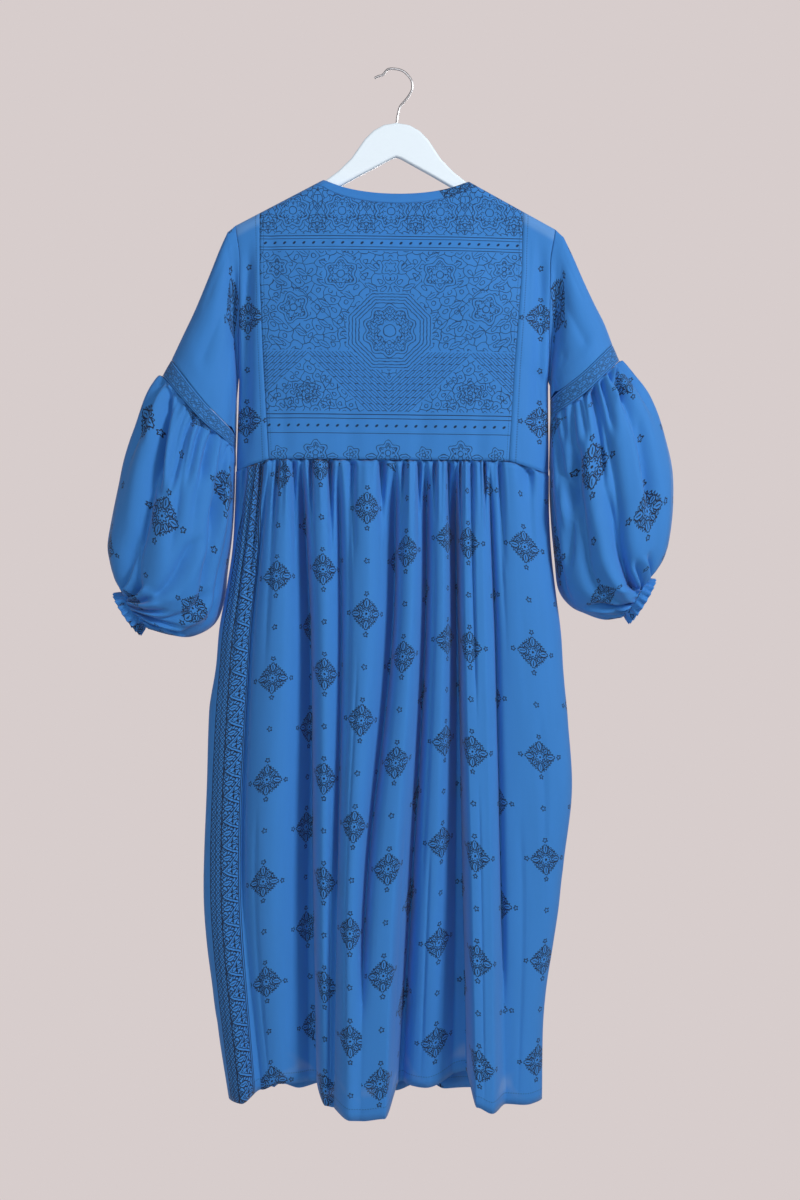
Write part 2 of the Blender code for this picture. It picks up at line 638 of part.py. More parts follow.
def build_sleeves():
    tube = tube_angles()
    for end, sign, upper, band, balloon, troughs in (
            ("left", -1, LEFT_UPPER, LEFT_BAND, LEFT_BALLOON, LEFT_TROUGHS),
            ("right", 1, RIGHT_UPPER, RIGHT_BAND, RIGHT_BALLOON, RIGHT_TROUGHS)):
        steps = len(upper) - 1
        vs = [k / steps for k in range(steps + 1)]
        rows = sleeve_rows(upper, (), tube, vs, None, across(upper[-1], sign))
        wall(f"upper_sleeve_{end}", [armhole_ring(sign), *rows], True, cloth)
        rows = sleeve_rows(band, (), tube, (0.0, 0.5, 1.0), across(band[0], sign), across(band[-1], sign))
        wall(f"sleeve_band_{end}", rows, True, border_cloth)
        steps = len(balloon) - 1
        vs = [k / steps for k in range(steps + 1)]
        rows = sleeve_rows(balloon, troughs, even_angles(BALLOON_STEPS), vs, across(balloon[0], sign),
                           across(balloon[-1], sign))
        wall(f"balloon_{end}", rows, True, print_cloth)
        build_cuff(end, sign, balloon[-1])


def build_cuff(end, sign, ring):
    """A short ruffle past the balloon's last ring, waved and flared."""
    px, pz, qx, qz, half, _ = ring
    axis = across(ring, sign)
    chord = Vector((qx - px, 0.0, qz - pz)) / 2
    centre = Vector(((px + qx) / 2, 0.0, (pz + qz) / 2))
    rows = []
    for t in (0.0, 0.5, 1.0):
        row = []
        for k in range(CUFF_STEPS):
            angle = 2 * pi * k / CUFF_STEPS
            radial = -chord.normalized() * cos(angle) + Vector((0, -1, 0)) * sin(angle)
            wave = CUFF_WAVE_DEEP * t * cos(CUFF_WAVES * angle)
            ring_point = centre - chord * cos(angle) + Vector((0, -half, 0)) * sin(angle)
            reach = CUFF_FLARE * t + wave
            point = ring_point + radial * reach + axis * (SEAM + CUFF_WIDE * t)
            row.append((point, radial.normalized()))
        rows.append(row)
    return wall(f"cuff_{end}", rows, True, cloth)


def curve_object(name, look):
    data = bpy.data.curves.new(name, "CURVE")
    made = bpy.data.objects.new(name, data)
    data.materials.append(look)
    dress.objects.link(made)
    return made


def build_hanger():
    made = curve_object("hanger_body", wood)
    made.parent = garment
    made.rotation_euler = (radians(90), 0, 0)
    data = made.data
    data.dimensions = "2D"
    data.fill_mode = "BOTH"
    data.extrude = WOOD_THICK / 2 - WOOD_ROUND
    data.bevel_depth = WOOD_ROUND
    data.bevel_resolution = 1
    data.offset = -WOOD_ROUND
    line = [*WOOD_HALF, NOTCH, *[(-x, z) for x, z in reversed(WOOD_HALF[1:])]]
    spline = data.splines.new("POLY")
    spline.points.add(len(line) - 1)
    spline.use_cyclic_u = True
    for point, (x, z) in zip(spline.points, line):
        point.co = (x, z, 0.0, 1.0)

    hook = curve_object("hanger_hook", chrome)
    data = hook.data
    data.dimensions = "3D"
    data.bevel_depth = HOOK_WIRE
    data.bevel_resolution = 2
    data.use_fill_caps = True
    spline = data.splines.new("POLY")
    spline.points.add(len(HOOK_LINE) - 1)
    for point, (x, z) in zip(spline.points, HOOK_LINE):
        point.co = (x, 0.0, z, 1.0)


for old in list(bpy.data.objects):
    bpy.data.objects.remove(old)
dress = bpy.data.collections.new("maxi_dress")
bpy.context.scene.collection.children.link(dress)
garment = bpy.data.objects.new("garment_zero", None)
garment.location = GARMENT_ZERO
dress.objects.link(garment)

cloth = material("blue_crepe", (0.053, 0.246, 0.604), 0.8)
print_cloth = material("blue_crepe_print", (0.048, 0.215, 0.530), 0.8)
border_cloth = material("blue_border_print", (0.030, 0.120, 0.300), 0.8)
wood = material("white_wood", (0.80, 0.84, 0.88), 0.45)
chrome = material("hook_wire", (0.62, 0.62, 0.64), 0.25, 1.0)

build_bodice()
build_neck_band()
build_sleeves()
build_skirt()
build_hanger()
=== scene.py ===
"""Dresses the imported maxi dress: fine cloth with its folds, gathers and print, hanger, light and camera."""

from functools import partial, reduce
from math import cos, exp, pi, radians, sin, sqrt

import bmesh
import bpy
from bpy.props import FloatProperty, FloatVectorProperty, PointerProperty
from mathutils import Matrix, Vector


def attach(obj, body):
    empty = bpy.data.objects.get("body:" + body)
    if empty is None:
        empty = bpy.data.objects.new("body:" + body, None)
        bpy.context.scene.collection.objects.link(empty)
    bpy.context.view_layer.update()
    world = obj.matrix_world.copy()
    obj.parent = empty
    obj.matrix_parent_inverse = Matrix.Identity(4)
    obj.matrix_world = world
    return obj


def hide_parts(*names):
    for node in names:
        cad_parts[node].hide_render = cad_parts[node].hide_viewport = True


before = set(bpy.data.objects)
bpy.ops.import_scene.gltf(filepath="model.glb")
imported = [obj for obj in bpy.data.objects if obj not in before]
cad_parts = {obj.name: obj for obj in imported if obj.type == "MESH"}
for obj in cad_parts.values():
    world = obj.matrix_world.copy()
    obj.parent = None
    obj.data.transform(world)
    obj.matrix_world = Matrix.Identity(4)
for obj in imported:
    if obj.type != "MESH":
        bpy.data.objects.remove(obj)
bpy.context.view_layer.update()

bl_info = {
    "name": "Hanging maxi dress",
    "version": (1, 0, 0),
    "blender": (4, 5, 0),
    "location": "View3D > Sidebar > Dress",
    "description": "Builds the cloth, print, hanger and studio of a maxi dress on its hanger",
    "category": "Object",
}

# Placing, the same values as the solids
GARMENT_ZERO = Vector((0.006, 0.0, -0.150))
SEAM = 0.0003
HALF_SEAM = SEAM / 2
ROLL = 0.0125
NECK_HALF = 0.0985
NECK_BACK_GIRTH = 0.0271
NECK_FRONT_GIRTH = 0.0985
BAND_WIDE = 0.0128
SHOULDER_SLOPE = 0.539
ARM_X_TOP = 0.2155
ARM_X = 0.2085
WAIST_X = 0.2105
ARM_OPEN = 0.0115
ARMHOLE_GAP = 0.0004
BODICE_DEEP = 0.036
WAIST_DEEP = 0.042
DEEP_BY = 0.17
SIDE_POWER = 6.0
YOKE_X = {"girth": (0.0, 0.09, 0.22, 0.35), "left": (-0.1830, -0.1810, -0.1735, -0.1642),
          "right": (0.1712, 0.1700, 0.1610, 0.1544)}
WAIST_LINE = {"x": (-0.2105, -0.1642, 0.1544, 0.2105), "z": (-0.395, -0.380, -0.379, -0.395)}
UNDERARM_STEP = 0.634
FOLD_LEVELS = (-0.39, -0.62, -0.95, -1.23)
OUTLINE = {"z": (-0.385, -0.433, -0.487, -0.541, -0.595, -0.649, -0.704, -0.811, -0.920, -0.974, -1.028,
                 -1.081, -1.135, -1.240),
           "left": (-0.2112, -0.2122, -0.2148, -0.2222, -0.2311, -0.2352, -0.2433, -0.2454, -0.2481,
                    -0.2474, -0.2427, -0.2353, -0.2272, -0.2104),
           "right": (0.2112, 0.2120, 0.2157, 0.2224, 0.2299, 0.2339, 0.2399, 0.2473, 0.2365,
                     0.2311, 0.2237, 0.2162, 0.2122, 0.2121)}
# One row a fold line. x_waist, x_high, x_low, x_hem; y_high, y_low, y_hem; hem height
BACK_FOLDS = (
    (-0.1857, -0.2100, -0.2193, -0.1917, -0.030, -0.032, -0.038, -1.239),
    (-0.1642, -0.1842, -0.1910, -0.1660, -0.025, -0.020, -0.008, -1.226),
    (-0.1412, -0.1450, -0.1560, -0.1418, -0.043, -0.038, -0.014, -1.216),
    (-0.1209, -0.1073, -0.1010, -0.0932, -0.022, -0.012, -0.006, -1.217),
    (-0.0953, -0.0870, -0.0843, -0.0783, -0.048, -0.046, -0.040, -1.237),
    (-0.0710, -0.0655, -0.0668, -0.0675, -0.036, -0.034, -0.036, -1.240),
    (-0.0332, -0.0330, -0.0479, -0.0446, -0.054, -0.060, -0.070, -1.247),
    (0.0047, 0.0020, -0.0276, -0.0310, -0.031, -0.050, -0.067, -1.248),
    (0.0249, 0.0237, 0.0062, 0.0000, -0.050, -0.060, -0.070, -1.244),
    (0.0465, 0.0466, 0.0332, 0.0203, -0.028, -0.020, -0.002, -1.216),
    (0.0654, 0.0682, 0.0602, 0.0540, -0.046, -0.037, -0.014, -1.219),
    (0.0843, 0.0912, 0.1007, 0.1100, -0.016, -0.006, 0.002, -1.201),
    (0.0955, 0.1010, 0.1125, 0.1215, -0.046, -0.052, -0.056, -1.232),
    (0.1154, 0.1236, 0.1358, 0.1418, -0.045, -0.050, -0.056, -1.240),
    (0.1290, 0.1411, 0.1520, 0.1620, -0.032, -0.034, -0.026, -1.236),
    (0.1544, 0.1749, 0.1985, 0.1890, -0.040, -0.036, -0.026, -1.238),
)
FRONT_FOLDS = (
    (-0.1800, -0.2000, -0.2080, -0.1850, 0.034, 0.036, 0.040, -1.238),
    (-0.1642, -0.1700, -0.1680, -0.1500, 0.024, 0.020, 0.018, -1.228),
    (-0.1160, -0.1180, -0.1220, -0.1200, 0.047, 0.052, 0.056, -1.242),
    (-0.0900, -0.0860, -0.0800, -0.0780, 0.026, 0.018, 0.014, -1.220),
    (-0.0560, -0.0520, -0.0480, -0.0500, 0.050, 0.056, 0.062, -1.245),
    (-0.0250, -0.0230, -0.0180, -0.0150, 0.032, 0.036, 0.044, -1.236),
    (0.0060, 0.0080, 0.0120, 0.0150, 0.052, 0.060, 0.066, -1.247),
    (0.0380, 0.0410, 0.0460, 0.0500, 0.024, 0.016, 0.012, -1.219),
    (0.0700, 0.0740, 0.0800, 0.0820, 0.048, 0.052, 0.054, -1.240),
    (0.1020, 0.1080, 0.1150, 0.1180, 0.028, 0.026, 0.028, -1.230),
    (0.1340, 0.1440, 0.1550, 0.1520, 0.046, 0.050, 0.056, -1.243),
    (0.1544, 0.1760, 0.1880, 0.1800, 0.030, 0.028, 0.030, -1.236),
)
GATHER_PUFF = 0.0105
GATHER_FADE = 0.16
TUCK_DEEP = 0.0110
WAIST_MIDDLE_Z = -0.3795
SKIRT_LONG = 0.858
SKIRT_SIDE_POWER = 10.0
SIDE_HEM = {"left": -1.238, "right": -1.235}

# Sleeve rings: outer point x, z; inner point x, z; half depth; roundness
LEFT_UPPER = (
    (-0.2262, -0.0720, -0.2097, -0.2780, 0.0150, 0.62),
    (-0.2366, -0.0958, -0.2107, -0.2900, 0.0220, 0.75),
    (-0.2523, -0.1365, -0.2122, -0.3050, 0.0290, 0.90),
    (-0.2690, -0.1780, -0.2138, -0.3200, 0.0340, 1.00),
    (-0.2850, -0.2130, -0.2155, -0.3350, 0.0380, 1.00),
    (-0.2995, -0.2451, -0.2173, -0.3481, 0.0400, 1.00),
)
RIGHT_UPPER = (
    (0.2270, -0.0735, 0.2112, -0.2745, 0.0150, 0.62),
    (0.2400, -0.1000, 0.2122, -0.2790, 0.0220, 0.75),
    (0.2540, -0.1310, 0.2136, -0.2830, 0.0290, 0.90),
    (0.2690, -0.1620, 0.2152, -0.2865, 0.0340, 1.00),
    (0.2830, -0.1890, 0.2172, -0.2897, 0.0380, 1.00),
    (0.2942, -0.2176, 0.2195, -0.2928, 0.0400, 1.00),
)
LEFT_BAND = (
    (-0.2999, -0.2458, -0.2175, -0.3485, 0.0402, 1.00),
    (-0.3058, -0.2560, -0.2212, -0.3570, 0.0410, 1.00),
    (-0.3112, -0.2664, -0.2245, -0.3650, 0.0415, 1.00),
)
RIGHT_BAND = (
    (0.2945, -0.2181, 0.2197, -0.2933, 0.0402, 1.00),
    (0.2992, -0.2285, 0.2232, -0.3052, 0.0410, 1.00),
    (0.3037, -0.2388, 0.2268, -0.3166, 0.0415, 1.00),
)
LEFT_BALLOON = (
    (-0.3116, -0.2669, -0.2247, -0.3655, 0.0415, 1.00),
    (-0.3200, -0.2740, -0.2215, -0.3745, 0.0455, 1.00),
    (-0.3335, -0.2965, -0.2190, -0.3900, 0.0520, 1.00),
    (-0.3483, -0.3402, -0.2175, -0.4240, 0.0590, 0.95),
    (-0.3613, -0.3809, -0.2172, -0.4600, 0.0630, 0.92),
    (-0.3700, -0.4200, -0.2180, -0.4950, 0.0650, 0.90),
    (-0.3779, -0.4621, -0.2225, -0.5320, 0.0650, 0.90),
    (-0.3829, -0.4959, -0.2275, -0.5720, 0.0630, 0.90),
    (-0.3800, -0.5180, -0.2400, -0.6020, 0.0590, 0.92),
    (-0.3750, -0.5350, -0.2680, -0.6175, 0.0520, 0.95),
    (-0.3690, -0.5470, -0.2980, -0.6150, 0.0440, 1.00),
    (-0.3610, -0.5580, -0.3290, -0.6060, 0.0360, 1.00),
)
RIGHT_BALLOON = (
    (0.3041, -0.2393, 0.2270, -0.3171, 0.0415, 1.00),
    (0.3110, -0.2450, 0.2240, -0.3270, 0.0455, 1.00),
    (0.3230, -0.2580, 0.2212, -0.3480, 0.0520, 1.00),
    (0.3395, -0.2778, 0.2190, -0.3850, 0.0590, 0.95),
    (0.3560, -0.3100, 0.2172, -0.4280, 0.0630, 0.92),
    (0.3680, -0.3450, 0.2185, -0.4700, 0.0650, 0.90),
    (0.3772, -0.3854, 0.2222, -0.5090, 0.0650, 0.90),
    (0.3789, -0.4300, 0.2275, -0.5480, 0.0630, 0.90),
    (0.3760, -0.4680, 0.2440, -0.5710, 0.0590, 0.92),
    (0.3700, -0.4970, 0.2650, -0.5810, 0.0520, 0.95),
    (0.3590, -0.5170, 0.2900, -0.5870, 0.0440, 1.00),
    (0.3430, -0.5310, 0.3130, -0.5830, 0.0360, 1.00),
)
# Balloon folds: place round the ring in degrees (0 outer, 90 back, 180 inner), half width, depth, run
LEFT_TROUGHS = (
    (66, 8, 0.0165, -0.05, 0.93), (84, 5, 0.0070, -0.20, 0.50), (98, 5, 0.0080, -0.20, 0.62),
    (116, 6, 0.0075, -0.20, 0.55), (136, 6, 0.0090, -0.20, 0.75), (158, 7, 0.0070, -0.20, 0.80),
    (30, 6, 0.0060, -0.20, 0.40), (196, 7, 0.0080, -0.20, 0.60), (222, 7, 0.0120, -0.05, 0.85),
    (246, 6, 0.0070, -0.20, 0.50), (268, 7, 0.0130, -0.05, 0.90), (292, 6, 0.0070, -0.20, 0.55),
    (318, 7, 0.0090, -0.20, 0.80), (110, 6, 0.0080, 0.74, 1.20), (150, 7, 0.0080, 0.70, 1.20),
    (235, 7, 0.0070, 0.72, 1.20), (300, 7, 0.0070, 0.72, 1.20), (10, 7, 0.0050, 0.78, 1.20),
)
RIGHT_TROUGHS = (
    (58, 7, 0.0100, -0.05, 0.70), (90, 7, 0.0130, -0.05, 0.97), (108, 5, 0.0070, -0.20, 0.50),
    (126, 6, 0.0100, -0.05, 0.85), (146, 6, 0.0070, -0.20, 0.60), (164, 6, 0.0080, -0.20, 0.75),
    (28, 6, 0.0060, -0.20, 0.40), (200, 7, 0.0080, -0.20, 0.60), (226, 7, 0.0120, -0.05, 0.85),
    (250, 6, 0.0070, -0.20, 0.50), (272, 7, 0.0130, -0.05, 0.90), (296, 6, 0.0070, -0.20, 0.55),
    (320, 7, 0.0090, -0.20, 0.80), (70, 6, 0.0070, 0.74, 1.20), (138, 7, 0.0080, 0.70, 1.20),
    (240, 7, 0.0070, 0.72, 1.20), (304, 7, 0.0070, 0.72, 1.20), (12, 7, 0.0050, 0.78, 1.20),
)
CUFF_WAVES = 20
CUFF_WAVE_DEEP = 0.0026
CUFF_WIDE = 0.0125
CUFF_FLARE = 0.0035
SLEEVE_CLEAR = 0.0009

# Right half of the hanger's outline, and the line of its hook: x, z
WOOD_HALF = (
    (0.0000, 0.0778), (0.0172, 0.0750), (0.0312, 0.0672), (0.0428, 0.0556), (0.0522, 0.0417),
    (0.0606, 0.0294), (0.0776, 0.0123), (0.0930, 0.0005), (0.1050, -0.0074), (0.1160, -0.0131),
    (0.1295, -0.0197), (0.1564, -0.0342), (0.1832, -0.0487), (0.1905, -0.0534), (0.1950, -0.0590),
    (0.1945, -0.0650), (0.1890, -0.0672), (0.1564, -0.0520), (0.1295, -0.0393), (0.1000, -0.0230),
    (0.0757, -0.0085), (0.0500, 0.0062), (0.0230, 0.0208), (0.0060, 0.0300),
)
NOTCH = (0.0000, 0.0322)
HOOK_WIRE = 0.0016
HOOK_LINE = (
    (-0.0245, -0.0112), (-0.0200, -0.0085), (-0.0150, -0.0078), (-0.0118, -0.0048), (-0.0093, -0.0011),
    (-0.0068, 0.0010), (-0.0036, 0.0017), (0.0000, 0.0018), (0.0058, 0.0013), (0.0120, -0.0003),
    (0.0171, -0.0035), (0.0228, -0.0097), (0.0256, -0.0145), (0.0263, -0.0192), (0.0265, -0.0240),
    (0.0253, -0.0285), (0.0209, -0.0362), (0.0165, -0.0415), (0.0124, -0.0460), (0.0100, -0.0495),
    (0.0086, -0.0540), (0.0074, -0.0600), (0.0064, -0.0660), (0.0060, -0.0717),
)

# The printed strip lies a metre to the left of the sprays on the cloth's plan
STRIP_AT = -1.0
STITCH_COVER = 0.4
THREAD_MM = 0.55
# Colour of a painted highlight on the cloth that lies over the hanger's ends
PAINTED_HANGER_HIGHLIGHT = (0.32, 0.58, 0.92)
# Colour of painted light that stands for light passing through the thin cloth above the hem
PAINTED_HEM_LIGHT = (0.36, 0.50, 0.72)

# Print on each stretch of the skirt between two deep folds: first and last line, the line it is laid
# from, the print's place across and down there
BACK_PRINT = (
    (0, 2, 1, -0.981, 0.000), (2, 4, 3, 0.009, 0.000), (4, 6, 5, 0.000, 0.013), (6, 8, 7, 0.069, 0.026),
    (8, 10, 9, 0.076, -0.030), (10, 12, 11, 0.057, -0.015), (12, 15, 13, 0.065, -0.020),
    (15, 17, 16, 0.055, -0.018),
)
FRONT_PRINT = (
    (0, 2, 1, 0.020, 0.000), (2, 4, 3, 0.069, 0.010), (4, 6, 5, 0.005, -0.012), (6, 8, 7, 0.075, 0.020),
    (8, 10, 9, 0.010, -0.020), (10, 13, 11, 0.060, 0.008),
)

# Fine creases of the skirt: place on the fold lines, half width left of it in places (0.6 of that right
# of it), depth, and the shares of the height where it starts and ends
BACK_CREASES = (
    (1.98, 0.14, 0.0070, 0.00, 0.75), (4.00, 0.28, 0.0210, 0.00, 1.20), (6.00, 0.18, 0.0120, 0.00, 0.70),
    (8.00, 0.27, 0.0210, 0.00, 0.85), (10.0, 0.25, 0.0200, 0.00, 1.20), (12.0, 0.30, 0.0240, 0.00, 1.20),
    (15.0, 0.13, 0.0110, 0.00, 0.85), (13.5, 0.12, 0.0060, 0.00, 0.40), (1.02, 0.12, 0.0040, 0.00, 0.35),
    (0.55, 0.10, 0.0030, 0.02, 0.30), (1.60, 0.10, 0.0028, 0.00, 0.22), (2.50, 0.12, 0.0030, 0.00, 0.35),
    (4.50, 0.10, 0.0026, 0.00, 0.28), (6.35, 0.12, 0.0034, 0.00, 0.60), (6.70, 0.08, 0.0020, 0.30, 0.95),
    (8.40, 0.10, 0.0026, 0.00, 0.30), (10.5, 0.12, 0.0028, 0.10, 0.70), (13.4, 0.10, 0.0026, 0.00, 0.26),
    (15.4, 0.10, 0.0024, 0.00, 0.30), (16.3, 0.07, 0.0030, 0.38, 0.66), (1.40, 0.09, 0.0022, 0.45, 0.90),
    (2.45, 0.10, 0.0024, 0.55, 1.00), (5.50, 0.12, 0.0022, 0.50, 1.00), (9.50, 0.12, 0.0026, 0.55, 1.00),
    (13.5, 0.12, 0.0022, 0.50, 1.00), (15.6, 0.12, 0.0024, 0.55, 1.00), (10.8, 0.10, 0.0024, 0.60, 1.00),
)
FRONT_CREASES = (
    (2.00, 0.14, 0.0080, 0.00, 1.10), (4.00, 0.16, 0.0110, 0.00, 1.20), (6.00, 0.14, 0.0090, 0.00, 0.80),
    (8.00, 0.16, 0.0110, 0.00, 1.20), (10.0, 0.15, 0.0090, 0.00, 0.90), (12.0, 0.14, 0.0060, 0.00, 0.60),
    (0.55, 0.10, 0.0030, 0.02, 0.30), (2.50, 0.12, 0.0030, 0.00, 0.35), (4.50, 0.10, 0.0026, 0.00, 0.28),
    (6.40, 0.12, 0.0034, 0.00, 0.60), (8.50, 0.10, 0.0026, 0.20, 0.80), (10.4, 0.10, 0.0028, 0.00, 0.40),
    (11.5, 0.10, 0.0024, 0.50, 1.00), (3.50, 0.10, 0.0022, 0.50, 1.00),
)
# Creases of the upper sleeves, with the columns of the balloon folds
ARM_CREASES = (
    (40, 9, 0.0026, -0.10, 0.55), (74, 10, 0.0036, 0.05, 0.85), (112, 9, 0.0030, -0.10, 0.60),
    (154, 11, 0.0095, 0.02, 1.20), (230, 9, 0.0030, 0.0, 0.7), (285, 10, 0.0036, 0.1, 0.9),
)

# Slanting creases of the balloons: place round the ring at its start and end in degrees, the shares
# down the sleeve where it starts and ends, half width in degrees, depth
LEFT_SLANTS = (
    (46, 80, 0.01, 0.44, 5, 0.0070), (98, 88, 0.01, 0.42, 4, 0.0050), (112, 103, 0.01, 0.36, 4, 0.0050),
    (128, 117, 0.01, 0.32, 4, 0.0055), (151, 133, 0.01, 0.48, 5, 0.0065), (62, 40, 0.52, 0.94, 5, 0.0060),
    (72, 52, 0.70, 1.02, 4, 0.0060), (90, 62, 0.74, 1.02, 4, 0.0065), (110, 76, 0.76, 1.02, 4, 0.0065),
    (136, 96, 0.78, 1.01, 5, 0.0070), (158, 120, 0.82, 1.01, 5, 0.0060), (124, 86, 0.46, 0.78, 6, 0.0050),
    (30, 44, 0.02, 0.30, 4, 0.0040), (146, 112, 0.60, 0.86, 6, 0.0045),
)
RIGHT_SLANTS = (
    (94, 102, 0.01, 0.48, 5, 0.0085), (102, 86, 0.40, 0.99, 6, 0.0090), (38, 60, 0.01, 0.26, 4, 0.0060),
    (166, 124, 0.01, 0.52, 5, 0.0075), (152, 108, 0.76, 1.01, 5, 0.0070), (80, 68, 0.70, 1.02, 4, 0.0060),
    (64, 42, 0.72, 1.02, 4, 0.0060), (100, 64, 0.78, 1.01, 4, 0.0060), (120, 148, 0.26, 0.62, 5, 0.0050),
    (74, 82, 0.01, 0.34, 4, 0.0050), (116, 112, 0.01, 0.30, 4, 0.0050), (140, 136, 0.01, 0.26, 4, 0.0045),
    (50, 58, 0.30, 0.62, 6, 0.0040),
)


def mix(a, b, t):
    return a + (b - a) * t


def smooth(t):
    t = min(max(t, 0.0), 1.0)
    return t * t * (3 - 2 * t)


def table(xs, ys, x):
    """Value at x of a table whose keys rise, held beyond its ends."""
    if x <= xs[0]:
        return ys[0]
    for k in range(1, len(xs)):
        if x <= xs[k]:
            return mix(ys[k - 1], ys[k], (x - xs[k - 1]) / (xs[k] - xs[k - 1]))
    return ys[-1]


def falling(zs, ys, z):
    """The same for keys that fall, eased between keys by a cubic through the neighbours."""
    if z >= zs[0]:
        return ys[0]
    for k in range(1, len(zs)):
        if z >= zs[k]:
            t = (z - zs[k - 1]) / (zs[k] - zs[k - 1])
            before, after = ys[max(k - 2, 0)], ys[min(k + 1, len(ys) - 1)]
            a, b = ys[k - 1], ys[k]
            m0, m1 = (b - before) / 2, (after - a) / 2
            if k == 1:
                m0 = b - a
            if k == len(zs) - 1:
                m1 = b - a
            t2, t3 = t * t, t * t * t
            return (2 * t3 - 3 * t2 + 1) * a + (t3 - 2 * t2 + t) * m0 + (3 * t2 - 2 * t3) * b + (t3 - t2) * m1
    return ys[-1]


def uneven(seed):
    """A steady value from 0 to 1 for a whole number, to vary like pieces."""
    return (sin(seed * 12.9898 + 4.1) * 43758.5453) % 1.0


def shoulder(x):
    return -SHOULDER_SLOPE * max(abs(x) - NECK_HALF, 0.0)


def roll_drop(girth):
    quarter = ROLL * pi / 2
    if girth < quarter:
        return ROLL * (1 - cos(girth / ROLL))
    return ROLL + girth - quarter


def girth_of(drop):
    return drop - ROLL + ROLL * pi / 2


UNDERARM_GIRTH = mix(HALF_SEAM, girth_of(shoulder(WAIST_X) - WAIST_LINE["z"][-1]), UNDERARM_STEP)


def middle_depth(girth):
    quarter = ROLL * pi / 2
    if girth < quarter:
        return ROLL * sin(girth / ROLL)
    beyond = girth - quarter
    deep = mix(BODICE_DEEP, WAIST_DEEP, smooth((beyond - DEEP_BY) / DEEP_BY))
    return mix(ROLL, deep, smooth(beyond / DEEP_BY))


def edge_depth(girth):
    if girth <= 0 or girth >= UNDERARM_GIRTH:
        return HALF_SEAM
    open_by = ARM_OPEN * sin(pi * girth / UNDERARM_GIRTH) ** 0.42
    return max(min(middle_depth(girth), open_by), HALF_SEAM)


def edge_x(girth):
    if girth < UNDERARM_GIRTH:
        return mix(ARM_X_TOP, ARM_X, smooth(girth / 0.06))
    return mix(ARM_X, WAIST_X, smooth((girth - UNDERARM_GIRTH) / 0.12))


def waist_z(x):
    return table(WAIST_LINE["x"], WAIST_LINE["z"], x)


def waist_girth(x):
    return girth_of(shoulder(x) - waist_z(x))


# Bodice creases, a row a trough: x, girth at its top and bottom, half width, depth, lean in x down its run
BODICE_CREASES = {
    -1: ((-0.197, 0.03, 0.34, 0.007, 0.0070, 0.002), (0.196, 0.02, 0.33, 0.009, 0.0070, -0.004),
         (0.181, 0.03, 0.20, 0.004, 0.0016, -0.004), (-0.150, 0.26, 0.38, 0.010, 0.0016, 0.010),
         (-0.060, 0.30, 0.40, 0.012, 0.0014, 0.004), (0.040, 0.29, 0.40, 0.012, 0.0014, -0.006),
         (0.120, 0.27, 0.39, 0.010, 0.0016, -0.010), (-0.170, 0.03, 0.16, 0.008, 0.0014, 0.014),
         (-0.120, 0.02, 0.12, 0.012, 0.0012, 0.030), (0.125, 0.02, 0.12, 0.012, 0.0012, -0.030)),
    1: ((-0.194, 0.02, 0.24, 0.006, 0.0028, 0.004), (0.192, 0.02, 0.28, 0.006, 0.0026, -0.010),
        (-0.080, 0.16, 0.36, 0.012, 0.0018, 0.010), (0.030, 0.20, 0.38, 0.012, 0.0018, 0.006),
        (0.110, 0.14, 0.36, 0.012, 0.0018, -0.012), (-0.130, 0.03, 0.16, 0.012, 0.0014, 0.040),
        (0.130, 0.03, 0.16, 0.012, 0.0014, -0.040)),
}


def bodice(share, girth, side, creased=True):
    """Point on the bodice: share of the half width, girth below the shoulder line, side -1 back, 1 front."""
    share = min(max(share, -1.0), 1.0)
    x = share * edge_x(girth)
    edge, middle = edge_depth(girth), middle_depth(girth)
    depth = edge + max(middle - edge, 0.0) * sqrt(max(1 - abs(share) ** SIDE_POWER, 0.0))
    if girth <= 0:
        depth = 0.0
    if creased and depth > 0.004:
        for at, start, end, wide, deep, lean in BODICE_CREASES[side]:
            t = (girth - start) / (end - start)
            if 0 < t < 1:
                off = (x - at - lean * t) / wide
                if abs(off) < 3:
                    run = smooth(t / 0.25) * smooth((1 - t) / 0.25)
                    depth -= deep * run * exp(-off * off) - 0.16 * deep * run * exp(-((off - 1.7) ** 2))
    return Vector((x, side * depth, shoulder(x) - roll_drop(girth)))


def neck_girth(x, half, deep):
    inside = 1 - (x / half) ** 2
    return deep * sqrt(inside) if inside > 0 else 0.0


def top_girth(x, side):
    half = NECK_HALF + BAND_WIDE + SEAM
    deep = (NECK_BACK_GIRTH if side < 0 else NECK_FRONT_GIRTH) + BAND_WIDE + SEAM
    return max(neck_girth(x, half, deep), HALF_SEAM)


def seam_x(name, girth):
    return table(YOKE_X["girth"], YOKE_X[name], girth)


def crest(g, first, last):
    """Eased share between two fold lines: a steep wall right of a valley, a long slope left of it."""
    if last > first:
        return sin(pi / 2 * g) ** 0.8
    return smooth(g) ** 1.1


